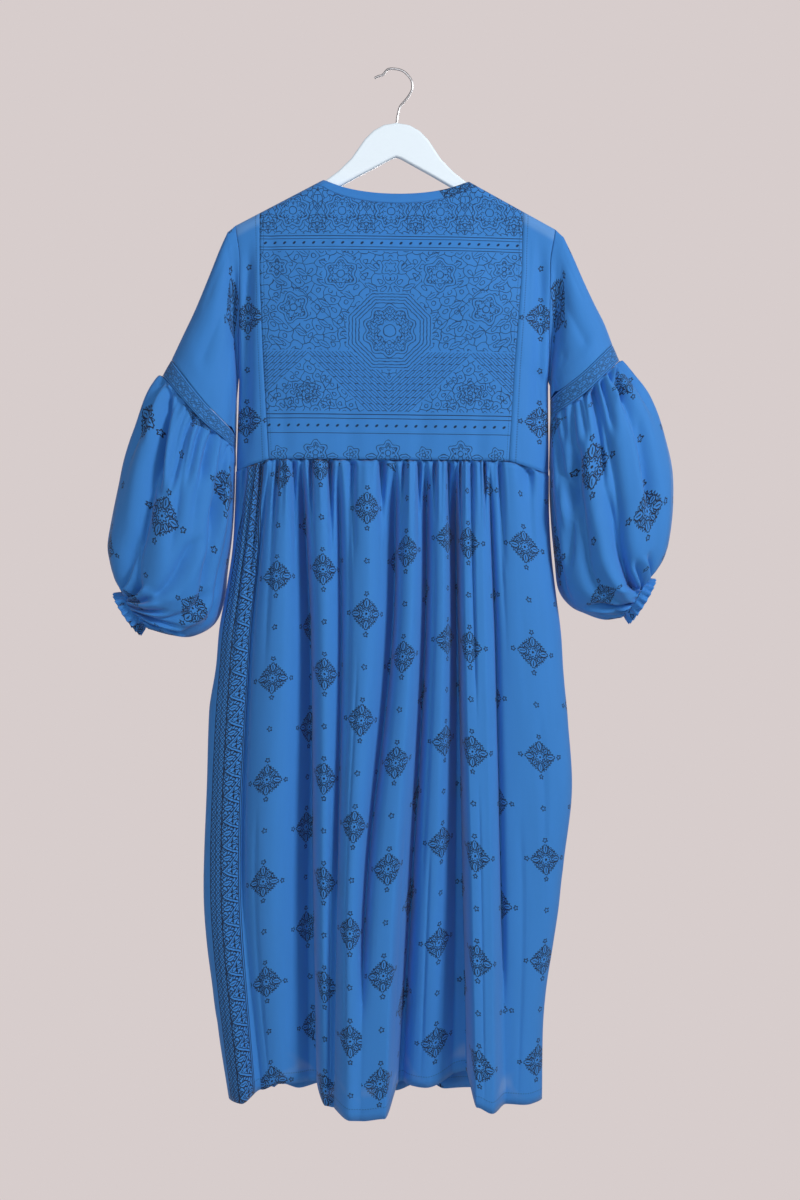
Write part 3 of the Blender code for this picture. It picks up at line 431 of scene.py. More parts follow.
def skirt_point(folds, creases, side, place, t):
    """Point on a half skirt: place counts fold lines from the left, t runs waist to hem."""
    lines = len(folds) + 1
    place = min(max(place, 0.0), float(lines))
    k = min(int(place), lines - 1)
    g = place - k
    eased = smooth(g)
    left_hem = SIDE_HEM["left"] if k == 0 else folds[k - 1][7]
    right_hem = SIDE_HEM["right"] if k == lines - 1 else folds[k][7]
    hem = mix(left_hem, right_hem, eased)
    z = mix(WAIST_MIDDLE_Z, hem, t)
    ends = (falling(OUTLINE["z"], OUTLINE["left"], z), falling(OUTLINE["z"], OUTLINE["right"], z))
    xs = []
    for n in (k, k + 1):
        xs.append(ends[0] if n == 0 else ends[1] if n == lines else falling(FOLD_LEVELS, folds[n - 1][:4], z))
    x = mix(xs[0], xs[1], g)
    half = (ends[1] - ends[0]) / 2
    share = min(max((x - (ends[0] + ends[1]) / 2) / half, -1.0), 1.0)
    z = mix(waist_z(x) - SEAM, hem, t)
    round_in = sqrt(max(1 - abs(share) ** SKIRT_SIDE_POWER, 0.0))
    ys = []
    for n in (k, k + 1):
        row = folds[min(max(n, 1), lines - 1) - 1]
        ys.append(side * falling(FOLD_LEVELS, (row[4], row[4], row[5], row[6]), z))
    fold = mix(ys[0], ys[1], crest(g, ys[0], ys[1])) * round_in
    plain = WAIST_DEEP * sqrt(max(1 - abs(share) ** SIDE_POWER, 0.0))
    inset = 1 - smooth((abs(share) - 0.9) / 0.1)
    number, stretch = int(place + 0.5), int(place)
    fade = GATHER_FADE * (0.40 + 0.8 * uneven(number))
    wave = abs(cos(pi * place)) ** 0.7
    puff = smooth(t / 0.006) * max(1 - t / fade, 0.0)
    gather = GATHER_PUFF * (0.7 + 0.6 * uneven(number + 40)) * puff * inset
    depth = mix(plain - 0.003 * inset, fold, 1 - exp(-t / 0.05)) + gather * (wave - 0.45)
    ripple = sin(place * 2 * pi * 2.6 + 1.3) + sin(place * 2 * pi * 1.7)
    depth += 0.0012 * max(1 - t / 0.12, 0.0) * inset * ripple
    tuck = (place - stretch - 0.5) / (0.10 + 0.05 * uneven(stretch + 7))
    reach = 0.05 + 0.20 * uneven(stretch + 60) ** 2
    tucked = TUCK_DEEP * (0.5 + uneven(stretch + 20)) * exp(-tuck * tuck)
    depth -= tucked * max(1 - t / reach, 0.0) * inset * smooth(t / 0.006)
    for at, wide, deep, start, end in creases:
        off = (place - at) / (wide if place < at else 0.6 * wide)
        if abs(off) < 3 and start - 0.05 < t < end + 0.05:
            run = smooth((t - start + 0.02) / 0.10) * smooth((end - t + 0.02) / 0.16)
            depth -= deep * run * inset * exp(-abs(off) ** 1.4)
    least = -0.004 if folds is BACK_FOLDS else 0.0
    return Vector((x, side * (HALF_SEAM + max(depth, least)), z))


def ring_values(rings, v):
    place = min(max(v, 0.0), 1.0) * (len(rings) - 1)
    keys = tuple(-n for n in range(len(rings)))
    return [falling(keys, tuple(row[c] for row in rings), -place) for c in range(6)]


def sleeve_point(rings, troughs, angle, v):
    """Point on a sleeve: angle 0 at the outer edge, a quarter turn at the back, half at the inner edge."""
    px, pz, qx, qz, half, roundness = ring_values(rings, v)
    along = (1 - cos(angle)) / 2
    s = sin(angle)
    depth = half * (abs(s) ** roundness) * (1 if s > 0 else -1)
    point = Vector((mix(px, qx, along), -depth, mix(pz, qz, along)))
    centre = Vector(((px + qx) / 2, 0.0, (pz + qz) / 2))
    sunk = 0.0
    for place, wide, deep, start, end in troughs:
        turn = (angle * 180 / pi - place + 180) % 360 - 180
        if abs(turn) < 3.2 * wide:
            run = smooth((v - start) / 0.18) * smooth((end - v) / 0.18)
            sunk += deep * run * exp(-abs(turn / wide) ** 1.4)
    if sunk:
        point -= (point - centre).normalized() * sunk
    return point


def drawn_in(point, sign, angle, much=1.0):
    """The point, where it is on the inner side, moved in until it hangs just clear of the dress."""
    end = "left" if sign < 0 else "right"
    body = WAIST_X if point.z > OUTLINE["z"][0] else abs(falling(OUTLINE["z"], OUTLINE[end], point.z))
    gap = abs(point.x) - body - SLEEVE_CLEAR
    off = (angle * 180 / pi - 180) / 46
    if gap > 0:
        point.x -= sign * 0.96 * much * gap * exp(-off * off) * smooth(0.030 / max(gap, 0.001) - 0.2)
    return point


def across(ring, sign):
    px, pz, qx, qz = ring[:4]
    return Vector((sign * abs(pz - qz), 0.0, -abs(px - qx))).normalized()


# Shared making of pieces


def in_scene(name, mesh, look):
    """A new object of the bmesh, which it frees."""
    data = bpy.data.meshes.new(name)
    mesh.to_mesh(data)
    mesh.free()
    data.materials.append(look)
    made = bpy.data.objects.new(name, data)
    bpy.context.scene.collection.objects.link(made)
    return made


def cloth_piece(name, steps, place, cloth_at, look, wrap=False, thick=None):
    """A grid shaped by place(s, t), with UVs in metres along the cloth and in shares, as a thin shell."""
    mesh = bmesh.new()
    bmesh.ops.create_grid(mesh, x_segments=steps[0], y_segments=steps[1], size=0.5)
    uv = mesh.loops.layers.uv.new("cloth")
    edge = mesh.loops.layers.uv.new("edge")
    at = {vert: (round(vert.co.x + 0.5, 6), round(0.5 - vert.co.y, 6)) for vert in mesh.verts}
    for face in mesh.faces:
        face.smooth = True
        middle = sum(at[vert][0] for vert in face.verts) / 4
        for loop in face.loops:
            loop[uv].uv = cloth_at(*at[loop.vert], middle)
            loop[edge].uv = at[loop.vert]
    for vert, (s, t) in at.items():
        vert.co = place(s, t) + GARMENT_ZERO
    if wrap:
        bmesh.ops.remove_doubles(mesh, verts=mesh.verts, dist=0.00002)
    made = in_scene(name, mesh, look)
    shell = made.modifiers.new("shell", "SOLIDIFY")
    shell.thickness = thick or bpy.context.scene.dress.cloth_thick
    shell.offset = -1
    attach(made, "root")
    return made


def facing(side, _):
    """The way out of a back or front piece, at any place on it."""
    return Vector((0, side, 0))


def declare(made, node, slot, towards, **cut):
    """Turns the faces out, and hides the solid of the node that the cloth stands for."""
    if sum(face.normal.dot(towards(face.center)) for face in made.data.polygons) < 0:
        made.data.flip_normals()
    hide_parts(node)


# Shader arithmetic


class Value:
    """A shader output that takes part in arithmetic: each step adds a math node to its tree."""

    def __init__(self, socket):
        self.socket = socket
        self.tree = socket.id_data

    def __add__(self, other):
        return reckon("ADD", self, other)

    def __sub__(self, other):
        return reckon("SUBTRACT", self, other)

    def __rsub__(self, other):
        return reckon("SUBTRACT", other, self)

    def __mul__(self, other):
        return reckon("MULTIPLY", self, other)

    def __truediv__(self, other):
        return reckon("DIVIDE", self, other)

    def __abs__(self):
        return reckon("ABSOLUTE", self)


def put(socket, value):
    """Links the value to the input, or sets the input to a plain number or colour."""
    if isinstance(value, Value):
        value.tree.links.new(value.socket, socket)
    else:
        socket.default_value = value


def add_node(tree, kind, inputs=(), **settings):
    """A node with its settings, and its inputs by name or number; gives back its outputs as values."""
    made = tree.nodes.new(f"ShaderNode{kind}")
    for name, value in settings.items():
        setattr(made, name, value)
    for key, value in dict(inputs).items():
        put(made.inputs[key], value)
    return [Value(socket) for socket in made.outputs]


def reckon(operation, *values):
    tree = next(value.tree for value in values if isinstance(value, Value))
    return add_node(tree, "Math", enumerate(values), operation=operation)[0]


def top(*values):
    return reduce(partial(reckon, "MAXIMUM"), values)


def length(a, b):
    return reckon("SQRT", a * a + b * b)


def under(value, limit, soft=0.45):
    """1 where the value is under the limit, with a soft edge."""
    steps = {"Value": value, "From Min": limit - soft, "From Max": limit + soft, "To Min": 1.0, "To Max": 0.0}
    return add_node(value.tree, "MapRange", steps, interpolation_type="SMOOTHSTEP")[0]


def line(value, at, half=0.6, soft=0.4):
    return under(abs(value - at), half, soft)


def lines_at(value, *rows):
    """Lines at the places given, each with its half width."""
    return top(*[line(value, at, half) for at, half in rows])


def between(value, low, high, soft=0.4):
    return under(value, high, soft) * (1.0 - under(value, low, soft))


def centred(value, period):
    """Offset from the nearest multiple of the period."""
    return value - reckon("ROUND", value / period) * period


def split(vector):
    return add_node(vector.tree, "SeparateXYZ", {0: vector})[:2]


def noise(vector, scale, detail, **more):
    """Noise as a value from 0 to 1, and as a colour."""
    return add_node(vector.tree, "TexNoise", {"Vector": vector, "Scale": scale, "Detail": detail, **more})


def blended(share, first, second):
    """The first colour, turned towards the second by the share."""
    return add_node(share.tree, "Mix", {0: share, 6: first, 7: second}, data_type="RGBA")[2]


def scaled(vector, by):
    return add_node(vector.tree, "VectorMath", {0: vector, 1: by}, operation="MULTIPLY")[0]


def opaque(colour, gain=1.0):
    return (*[min(part * gain, 1.0) for part in colour], 1.0)


def group_tree(name, outputs, build):
    """A group from a cloth position in millimetres to the named outputs, made once."""
    if name in bpy.data.node_groups:
        return bpy.data.node_groups[name]
    tree = bpy.data.node_groups.new(name, "ShaderNodeTree")
    tree.interface.new_socket("Cloth", in_out="INPUT", socket_type="NodeSocketVector")
    for output in outputs:
        tree.interface.new_socket(output, in_out="OUTPUT", socket_type="NodeSocketFloat")
    cloth = Value(tree.nodes.new("NodeGroupInput").outputs[0])
    end = tree.nodes.new("NodeGroupOutput")
    for socket, value in zip(end.inputs, build(cloth)):
        put(socket, value)
    return tree


def mask_group(name, draw):
    """The group of a print, from the function that draws it at x and y."""
    return group_tree(name, ["Mask"], lambda cloth: [draw(*split(cloth))])


# Print


def wobble(x, y, much):
    """The place moved a little by slow noise, so that printed lines look drawn by hand."""
    spot = add_node(x.tree, "CombineXYZ", {0: x, 1: y})[0]
    across, down = add_node(x.tree, "SeparateColor", {0: noise(spot, 0.2, 1.0)[1]})[:2]
    return x + (across - 0.5) * much, y + (down - 0.5) * much


def petalled(dx, dy, lobes, deep):
    """Distance from the centre, waved into lobes."""
    return length(dx, dy) + reckon("COSINE", reckon("ARCTAN2", dy, dx) * lobes) * deep


def lobed(dx, dy, radii, lobes, deep, half=0.5):
    """Rings with lobes inside one another, about a centre."""
    waved = petalled(dx, dy, lobes, deep)
    return top(*[line(waved, radius, half) for radius in radii])


def leaf(dx, dy, long, wide, half=0.6):
    """A pointed leaf with a vein along x: its drawn lines, and the room inside it."""
    edge = abs(dy) - (1.0 - reckon("POWER", abs(dx / long), 2.0)) * wide
    within = under(abs(dx), long)
    vein = line(dy, 0.0, half * 0.8) * under(abs(dx), long * 0.5)
    return top(line(edge, 0.0, half), vein) * within, under(edge, 0.0) * within


def filigree(x, y, size, half=0.5, eyes=False, curl=0.24):
    """A net of small curling loops, as leaves and stems drawn close together."""
    turn = 2 * pi / (size * 1.35)
    spot = add_node(x.tree, "CombineXYZ", {0: x / size + reckon("SINE", y * turn) * curl,
                                           1: y / size + reckon("SINE", x * turn) * curl})[0]
    net = {"Vector": spot, "Scale": 1.0, "Randomness": 0.8}
    edge = add_node(x.tree, "TexVoronoi", net, voronoi_dimensions="2D", feature="DISTANCE_TO_EDGE")[0]
    drawn = under(edge * size, half, 0.3)
    if eyes:
        middle = add_node(x.tree, "TexVoronoi", net, voronoi_dimensions="2D", feature="F1")[0]
        drawn = top(drawn, line(middle * size, size * 0.2, half, 0.3))
    return drawn


def cluster(dx, dy, radius, lobes, deep, size=4.9):
    """A lobed flower head full of fine loops, with a clear ring round its eye."""
    rim = 4.2
    waved = petalled(dx, dy, lobes, deep)
    net = filigree(abs(dx) + 23.0, dy + 11.0, size, 0.42) * between(waved, radius * 0.42, radius - rim)
    return top(net, line(waved, radius, 0.5), line(waved, radius - rim, 0.42),
               line(length(dx, dy), radius * 0.24, 0.5))


def chain(x, y, at, swing, period, half=0.6):
    """Two strands that cross again and again down a line, with a dot in each link."""
    sway = reckon("SINE", y * (2 * pi / period)) * swing
    off = x - at
    link = centred(y + period / 4, period / 2)
    return top(under(abs(off - sway), half), under(abs(off + sway), half), under(length(off, link), 0.8))


def spray_mask(x, y):
    """Diamond sprays of flowers and leaves on a half drop, with a lone small flower between them."""
    off_strip = 1.0 - under(x, STRIP_AT * 500)
    x, y = wobble(x, y, 2.4)
    step = bpy.context.scene.dress.spray_step * 1000
    column = reckon("ROUND", x / (step / 2))
    lx = x - column * (step / 2)
    dropped = y - reckon("MODULO", abs(column), 2.0) * (step / 2)
    ly = centred(dropped, step)
    ax, ay = abs(lx), abs(ly)
    m, n = top(ax, ay), reckon("MINIMUM", ax, ay)
    far = length(lx, ly)
    core = top(under(far, 1.5), lobed(lx, ly, (5.6,), 8.0, 1.0, 0.7))
    petal, in_petal = leaf(m - 14.4, n, 6.6, 3.8, 0.7)
    bud, in_bud = leaf((ax + ay) * 0.7071 - 11.6, (ax - ay) * 0.7071, 4.4, 2.8, 0.65)
    blunt = (ax + ay) * 0.66 + far * 0.44
    rough = blunt + reckon("COSINE", (ax - ay) * 1.15) * 1.5
    room = under(rough, 22.0, 0.6) * (1.0 - top(under(far, 7.2), in_petal, in_bud))
    net = filigree(ax + 31.0, ay + 17.0, 4.5, 0.72) * room
    edge = line(rough, 22.0, 0.8) * (1.0 - in_petal)
    lone = centred(dropped - step / 2, step)
    small = top(lobed(m - 26.5, n, (2.3,), 5.0, 0.7, 0.75), lobed(lx, lone, (2.6,), 5.0, 0.8, 0.75))
    return top(core, edge, petal, bud, net, small) * off_strip


def border_mask(x, y):
    """The strip down the skirt: chain columns, leafy triangles and a double line."""
    inside = between(x, -0.6, 45.0)
    rails = lines_at(x, (0.0, 0.7), (8.2, 0.55), (16.4, 0.8), (41.4, 0.7), (44.0, 0.5))
    x, y = wobble(x, y, 1.4)
    links = top(chain(x, y, 4.1, 2.6, 15.0, 0.65), chain(x, y + 4.0, 12.3, 2.6, 15.0, 0.65))
    repeat = 34.0
    ly, hy = centred(y, repeat), centred(y + repeat / 2, repeat)
    over = x - 17.5 - abs(ly) * (22.0 / 17.0)
    zag = top(line(over, 0.0, 0.9), line(over, 5.0, 0.6))
    frond, in_frond = leaf(x - 25.0, hy, 6.6, 4.0, 0.65)
    tip, in_tip = leaf(x - 36.0, ly, 4.6, 3.0, 0.6)
    net = filigree(x, abs(hy) + 9.0, 4.8, 0.6) * (under(over, 0.0) - in_frond)
    few = filigree(x + 40.0, abs(ly) + 9.0, 6.2, 0.5) * (1.0 - top(under(over, 5.0), in_tip))
    field = top(zag, frond, tip, net, few) * between(x, 17.0, 40.5)
    return top(field, links, rails) * inside


def yoke_head(x, y):
    """Flower heads with leaves between, on a loose net of stems."""
    repeat = 66.0
    mx, my = centred(x, repeat), y - 44.0
    hx = centred(x + repeat / 2, repeat)
    loose = filigree(abs(mx) + 9.0, y, 8.6, 0.42, curl=0.14) * (1.0 - under(length(mx, my), 22.0))
    return top(cluster(mx, my, 22.0, 8.0, 2.2), cluster(hx, y - 62.0, 11.5, 6.0, 1.6),
               leaf(y - 30.0, hx, 15.0, 6.5, 0.45)[0], loose) * under(y, 76.0)


def yoke_field(x, y):
    """A nested medallion, flower heads and vines over it, woven chevrons with open corners under it."""
    ax, dy = abs(x), y - 208.0
    shape = top(ax, abs(dy) * 1.10, (ax + abs(dy)) * 0.74)
    nested = line(centred(shape, 4.5), 0.0, 0.5, 0.4) * between(shape, 38.0, 57.0)
    heart = top(cluster(ax, dy, 34.0, 10.0, 2.4, 4.8), lobed(ax, dy, (15.0,), 8.0, 2.2, 0.5))
    around = 1.0 - under(shape, 57.0)
    below = y - (abs(ax - 108.0) * 0.95 + 238.0)
    low_room = between(y, 236.0, 316.0)
    rungs = line(centred(y, 9.0), 0.0, 0.45, 0.4) * under(centred(below, 9.2), 0.0)
    woven = top(line(centred(below, 4.6), 0.0, 0.5, 0.4), rungs) * between(below, -66.0, 1.0)
    chevron = woven * (low_room * around)
    corner = top(cluster(ax - 108.0, y - 290.0, 14.0, 6.0, 2.0),
                 lobed(abs(ax - 108.0) - 25.0, y - 305.0, (5.6,), 5.0, 1.2),
                 filigree(ax + 5.0, y, 12.0, 0.42, True, 0.10) * ((1.0 - under(below, 4.0)) * low_room))
    slope = (ax - 128.0) * 0.8 + (y - 178.0) * 0.6
    rise = (y - 178.0) * 0.8 - (ax - 128.0) * 0.6
    # dx, dy, radius, lobes, depth of lobes, clear room round it
    buds = ((ax - 66.0, y - 132.0, 21.0, 6.0, 2.8, 25.0), (slope, rise, 19.0, 5.0, 3.0, 23.0),
            (ax - 152.0, y - 122.0, 13.5, 6.0, 2.0, 16.5))
    drawn = [cluster(*bud[:5]) for bud in buds] + [lobed(ax, y - 122.0, (11.5, 6.8), 5.0, 2.0, 0.45)]
    heads = top(*[under(length(*bud[:2]), bud[5]) for bud in buds], under(length(ax, y - 122.0), 14.5))
    sprig, in_sprig = leaf(centred(ax + 6.0, 31.0), centred(y + ax * 0.5, 27.0), 8.5, 4.0, 0.45)
    vines = top(filigree(ax + 3.0, y, 15.0, 0.42, True, 0.10) * (1.0 - top(heads, in_sprig)),
                sprig * (1.0 - heads), line(y + ax * 0.9, 262.0, 0.45))
    upper = top(*drawn, vines) * (top(under(below, -66.0), under(y, 234.0)) * around)
    return top(nested, heart, chevron, corner, upper) * between(y, 100.0, 318.0)


def yoke_foot(x, y):
    """Sprays in a row."""
    repeat = 96.0
    bx, sx = centred(x, repeat), centred(x + repeat / 2, repeat)
    return top(cluster(bx, y - 371.0, 15.0, 6.0, 2.4), cluster(sx, y - 373.0, 9.5, 5.0, 1.8),
               leaf(abs(bx) - 22.0, y - 376.0, 8.0, 4.0, 0.5)[0]) * (1.0 - under(y, 347.0))


def yoke_mask(x, y):
    """Fine line-drawn bands across the yoke; x from its middle, y down from the top of the shoulder."""
    rules = lines_at(y, (79.0, 0.55), (83.0, 0.4), (94.0, 0.4), (98.0, 0.5), (320.0, 0.6), (325.5, 0.5),
                     (345.0, 0.4))
    dots_x = centred(x + centred(y, 30.0) * 0.5, 13.0)
    dots = top(*[under(length(dots_x, y - at), 1.9) for at in (88.5, 335.0)])
    inside = under(abs(x), 190.0)
    x, y = wobble(x, y, 2.2)
    return top(yoke_head(x, y), yoke_field(x, y), yoke_foot(x, y), dots, rules) * inside


def band_mask(x, y):
    """Dense narrow border of the sleeve bands and neck: x along the band, y across it from its middle."""
    rails = lines_at(abs(y), (8.6, 0.6), (11.4, 0.4))
    x, y = wobble(x, y, 1.2)
    repeat = 21.0
    lx, hx = centred(x, repeat), centred(x + repeat / 2, repeat)
    frond, in_frond = leaf(lx, y, 6.4, 3.6, 0.6)
    net = filigree(abs(hx) + 12.0, abs(y) + 7.0, 4.8, 0.5) * (1.0 - in_frond) * under(abs(y), 8.0)
    return top(frond, net, rails, chain(y, x, 0.0, 5.6, repeat, 0.55))


# Materials


def crinkled(cloth):
    """Crinkle and weave of the crepe as a height, and a slow drift of its dye."""
    x, y = split(cloth)
    thread = 2 * pi / THREAD_MM
    warp = reckon("SINE", x * thread) * reckon("SINE", y * thread)
    crinkle = noise(cloth, 0.16, 3.0, Roughness=0.55)[0]
    slub = noise(scaled(cloth, (1.0, 0.16, 1.0)), 0.045, 4.0, Roughness=0.55)[0]
    return warp * 0.03 + (crinkle * 0.28 + slub * 1.1), slub


def dashes(along):
    """Stitches of 2.4 mm, one each 3.4 mm."""
    return under(abs(centred(along, 3.4)), 1.2)


def crepe(name, masks, hem=None, cover=None, seam=None, wood=None):
    """Thin blue crepe with ink: masks are (group, offset in metres, turn in degrees, window or None).

    A window is (0 across or 1 down, low, high) and keeps the print to that stretch of the cloth.
    A hem is (height of the piece, depth of the turned edge), a seam is the width of the piece, in metres.
    Wood is the share of the piece's height, from its top, that is painted lighter blue as a highlight where
    the cloth lies over the hanger's end.
    """
    settings = bpy.context.scene.dress
    dark = opaque(settings.ink)
    made = bpy.data.materials.new(name)
    made.use_nodes = True
    tree = made.node_tree
    tree.nodes.clear()
    cloth = scaled(add_node(tree, "UVMap", uv_map="cloth")[0], (1000.0, 1000.0, 0.0))
    height, drift = add_node(tree, "Group", {0: cloth}, node_tree=group_tree(
        "crepe_surface", ["Height", "Drift"], crinkled))
    sides = split(cloth)
    over, along = split(add_node(tree, "UVMap", uv_map="edge")[0])
    colour = blended(drift, opaque(settings.dye, 0.93), opaque(settings.dye, 1.07))
    inks = []
    for group, offset, turn, window in masks:
        laid = {"Vector": cloth, "Location": (offset[0] * 1000, offset[1] * 1000, 0.0),
                "Rotation": (0.0, 0.0, radians(turn))}
        spot = add_node(tree, "Mapping", laid, vector_type="TEXTURE")[0]
        drawn = add_node(tree, "Group", {0: spot}, node_tree=group)[0]
        if window:
            drawn = drawn * between(sides[window[0]], window[1] * 1000, window[2] * 1000)
        inks.append(drawn)
    colour = blended(top(*inks) * (cover or settings.ink_cover), colour, dark)
    # Painted highlight: the top of the piece is turned lighter blue where the cloth lies over the hanger's
    # end
    if wood:
        colour = blended(under(along, wood, 0.02) * 0.26, colour, opaque(PAINTED_HANGER_HIGHLIGHT))
    if seam:
        side = over * (seam * 1000)
        stitch = line(reckon("MINIMUM", side, seam * 1000 - side), 3.5, 0.4) * dashes(sides[1])
        colour = blended(stitch * STITCH_COVER, colour, dark)
    if hem:
        up, fold = (1.0 - along) * (hem[0] * 1000), hem[1] * 1000
        stitch = line(up, fold, 0.5) * dashes(sides[0])
        # Painted light: patchy lighter blue above the turned hem, standing for light passing through the thin
        # cloth
        sheer = between(up, fold, 30.0, 8.0) * (1.0 - under(noise(cloth, 0.02, 1.0)[0], 0.58, 0.08))
        colour = blended(sheer * 0.30, colour, opaque(PAINTED_HEM_LIGHT))
        colour = blended(top(stitch * STITCH_COVER, under(up, fold) * 0.05), colour, dark)
    bump = add_node(tree, "Bump", {"Strength": 0.35, "Distance": 0.001, "Height": height})[0]
    shader = add_node(tree, "BsdfPrincipled", {
        "Base Color": colour, "Roughness": 0.72, "Sheen Weight": 0.18, "Sheen Roughness": 0.5,
        "Specular IOR Level": 0.25, "Normal": bump})[0]
    glow = add_node(tree, "BsdfTranslucent", {"Color": colour})[0]
    blend = add_node(tree, "MixShader", {0: settings.sheer, 1: shader, 2: glow})[0]
    add_node(tree, "OutputMaterial", {"Surface": blend})
    return made


def plain_look(name, colour, roughness, bump_scale, bump, metallic=0.0, coat=0.0, glow=(0.0, 0.0, 0.0)):
    """A hard surface with a little unevenness in colour, gloss and height; a glow, if given, is painted
    light, an emission that lightens it though it is no lamp.
    """
    made = bpy.data.materials.new(name)
    made.use_nodes = True
    tree = made.node_tree
    rough = noise(add_node(tree, "TexCoord")[3], bump_scale, 4.0)[0]
    gloss = {"Value": rough, "To Min": roughness - 0.06, "To Max": roughness + 0.06}
    inputs = {"Base Color": blended(rough, opaque(colour, 0.98), opaque(colour, 1.02)),
              "Metallic": metallic, "Coat Weight": coat,
              "Emission Color": opaque(glow), "Emission Strength": 1.0 if any(glow) else 0.0,
              "Roughness": add_node(tree, "MapRange", gloss)[0],
              "Normal": add_node(tree, "Bump", {"Strength": bump, "Distance": 0.0005, "Height": rough})[0]}
    for key, value in inputs.items():
        put(tree.nodes["Principled BSDF"].inputs[key], value)
    return made


class DressSettings(bpy.types.PropertyGroup):
    cloth_thick: FloatProperty(name="Cloth thickness", description="Thickness of the crepe shell",
                               default=0.0006, subtype="DISTANCE", unit="LENGTH")
    detail: FloatProperty(name="Grid detail", description="Share of the full number of grid cells",
                          default=1.0, min=0.2, max=1.0)
    spray_step: FloatProperty(name="Spray spacing", description="Height of the print's repeat on flat cloth",
                              default=0.1385, subtype="DISTANCE", unit="LENGTH")
    dye: FloatVectorProperty(name="Dye", description="Colour of the crepe", default=(0.046, 0.262, 0.720),
                             subtype="COLOR")
    ink: FloatVectorProperty(name="Ink", description="Colour of the printed lines",
                             default=(0.007, 0.017, 0.046), subtype="COLOR")
    ink_cover: FloatProperty(name="Ink cover", description="How far the ink hides the dye", default=1.0)
    sheer: FloatProperty(name="Sheerness", description="Share of light that glows through the cloth",
                         default=0.16)
    camera_far: FloatProperty(name="Camera distance", description="From the lens to the hanger's plane",
                              default=2.2, subtype="DISTANCE", unit="LENGTH")
    frame_high: FloatProperty(name="Frame height", description="Height seen at the hanger's plane",
                              default=1.62, subtype="DISTANCE", unit="LENGTH")
    light: FloatProperty(name="Light", description="Strength of the main soft light in watts", default=72.0)
    ambient: FloatProperty(name="Ambient", default=0.30,
                           description="Share of the surroundings' light that reaches the cloth")


def cells(count):
    return max(int(count * bpy.context.scene.dress.detail), 4)


class DRESS_OT_bodice(bpy.types.Operator):
    """Builds the yoke and side panels, back and front, and the neck band"""

    bl_idname = "dress.bodice"
    bl_label = "Bodice"

    def execute(self, context):
        lattice = mask_group("print_spray", spray_mask)
        yoke = mask_group("print_yoke", yoke_mask)
        looks = {"back": crepe("yoke_print", [(yoke, (-0.006, 0.0), 0, None)], cover=0.92, seam=0.34),
                 "front": crepe("front_print", [(lattice, (0.02, 0.03), 0, (1, 0.13, 1.0))], seam=0.34)}
        for end, at, wide in (("left", (-0.196, 0.190), 0.05), ("right", (0.196, 0.187), 0.055)):
            # wood: the top of each side panel gets the painted highlight over the hanger's end
            looks[end] = crepe(f"side_print_{end}", [(lattice, at, 0, (1, 0.11, 1.0))], seam=wide, wood=0.17)
        for side, face in ((-1, "back"), (1, "front")):
            outward = partial(facing, side)

            def centre(s, t, side=side):
                top_left, top_right = seam_x("left", 0.0), seam_x("right", 0.0)
                shape = mix(-1.0, 1.0, s)
                reach = NECK_HALF + BAND_WIDE + SEAM
                inner = 0.70
                if abs(shape) < inner:
                    x = -reach * cos(pi * (shape / inner + 1) / 2)
                else:
                    edge = top_right if shape > 0 else -top_left
                    x = (1 if shape > 0 else -1) * mix(reach, edge, (abs(shape) - inner) / (1 - inner))
                top = top_girth(x, side)
                share = (x - top_left) / (top_right - top_left)
                spread = t ** 1.5
                girth = mix(top, waist_girth(x), spread)
                left, right = seam_x("left", girth) + HALF_SEAM, seam_x("right", girth) - HALF_SEAM
                if abs(shape) >= inner:
                    edge, start = (right, top_right) if shape > 0 else (left, top_left)
                    part = (abs(shape) - inner) / (1 - inner)
                    x += (edge - start) * part
                girth = mix(top, waist_girth(x), spread)
                return bodice(x / edge_x(girth), girth, side)

            def laid(s, t, _, centre=centre):
                point = centre(s, t)
                return (point.x, -point.z)

            slot, cut = ("blue_crepe_print", 0.130) if side < 0 else ("blue_crepe", 0.118)
            made = cloth_piece(f"cloth_{face}_yoke", (cells(150), cells(110)), centre, laid, looks[face])
            declare(made, f"{face}_yoke", slot, outward, flat=(0.36, 0.40), area=cut, held="hung",
                    rests_on=["hanger_body"])
            for end, sign in (("left", -1), ("right", 1)):
                def panel(s, t, side=side, sign=sign, end=end):
                    shaped = sin(s * pi / 2) ** 0.8
                    spread = t ** 1.5
                    x = mix(seam_x(end, 0.0), sign * ARM_X_TOP, shaped)
                    girth = mix(HALF_SEAM, waist_girth(x), spread)
                    x = mix(seam_x(end, girth) + sign * HALF_SEAM, sign * edge_x(girth), shaped)
                    girth = mix(HALF_SEAM, waist_girth(x), spread)
                    return bodice(x / edge_x(girth), girth, side)

                def laid(s, t, _, panel=panel):
                    point = panel(s, t)
                    return (point.x, -point.z)

                node = f"{face}_side_{end}"
                made = cloth_piece(f"cloth_{node}", (cells(26), cells(90)), panel, laid, looks[end])
                wide, cut = (0.060, 0.0165) if sign < 0 else (0.070, 0.0205)
                declare(made, node, "blue_crepe", outward, flat=(wide, 0.36), area=cut, held="hung",
                        rests_on=["hanger_body"])

        def neck(s, t):
            turn = 2 * pi * s
            x = (NECK_HALF + BAND_WIDE * t) * cos(turn)
            rise = sin(turn)
            side = -1 if rise < 0 else 1
            deep = (NECK_BACK_GIRTH if side < 0 else NECK_FRONT_GIRTH) + BAND_WIDE * t
            girth = deep * abs(rise)
            return bodice(x / edge_x(girth), girth, side, creased=False)

        band = crepe("neck_print", [(mask_group("print_band", band_mask), (0.0, 0.0), 0, (0, 0.425, 0.498))])
        made = cloth_piece("cloth_neck_band", (cells(200), 6), neck,
                           lambda s, t, _: (0.50 * s, BAND_WIDE * (t - 0.5)), band, wrap=True, thick=0.0012)
        declare(made, "neck_band", "blue_border_print", lambda at: Vector((0, 1 if at.y > 0 else -1, 0.2)),
                flat=(0.55, 0.013), held="hung", rests_on=["hanger_body"])
        return {"FINISHED"}


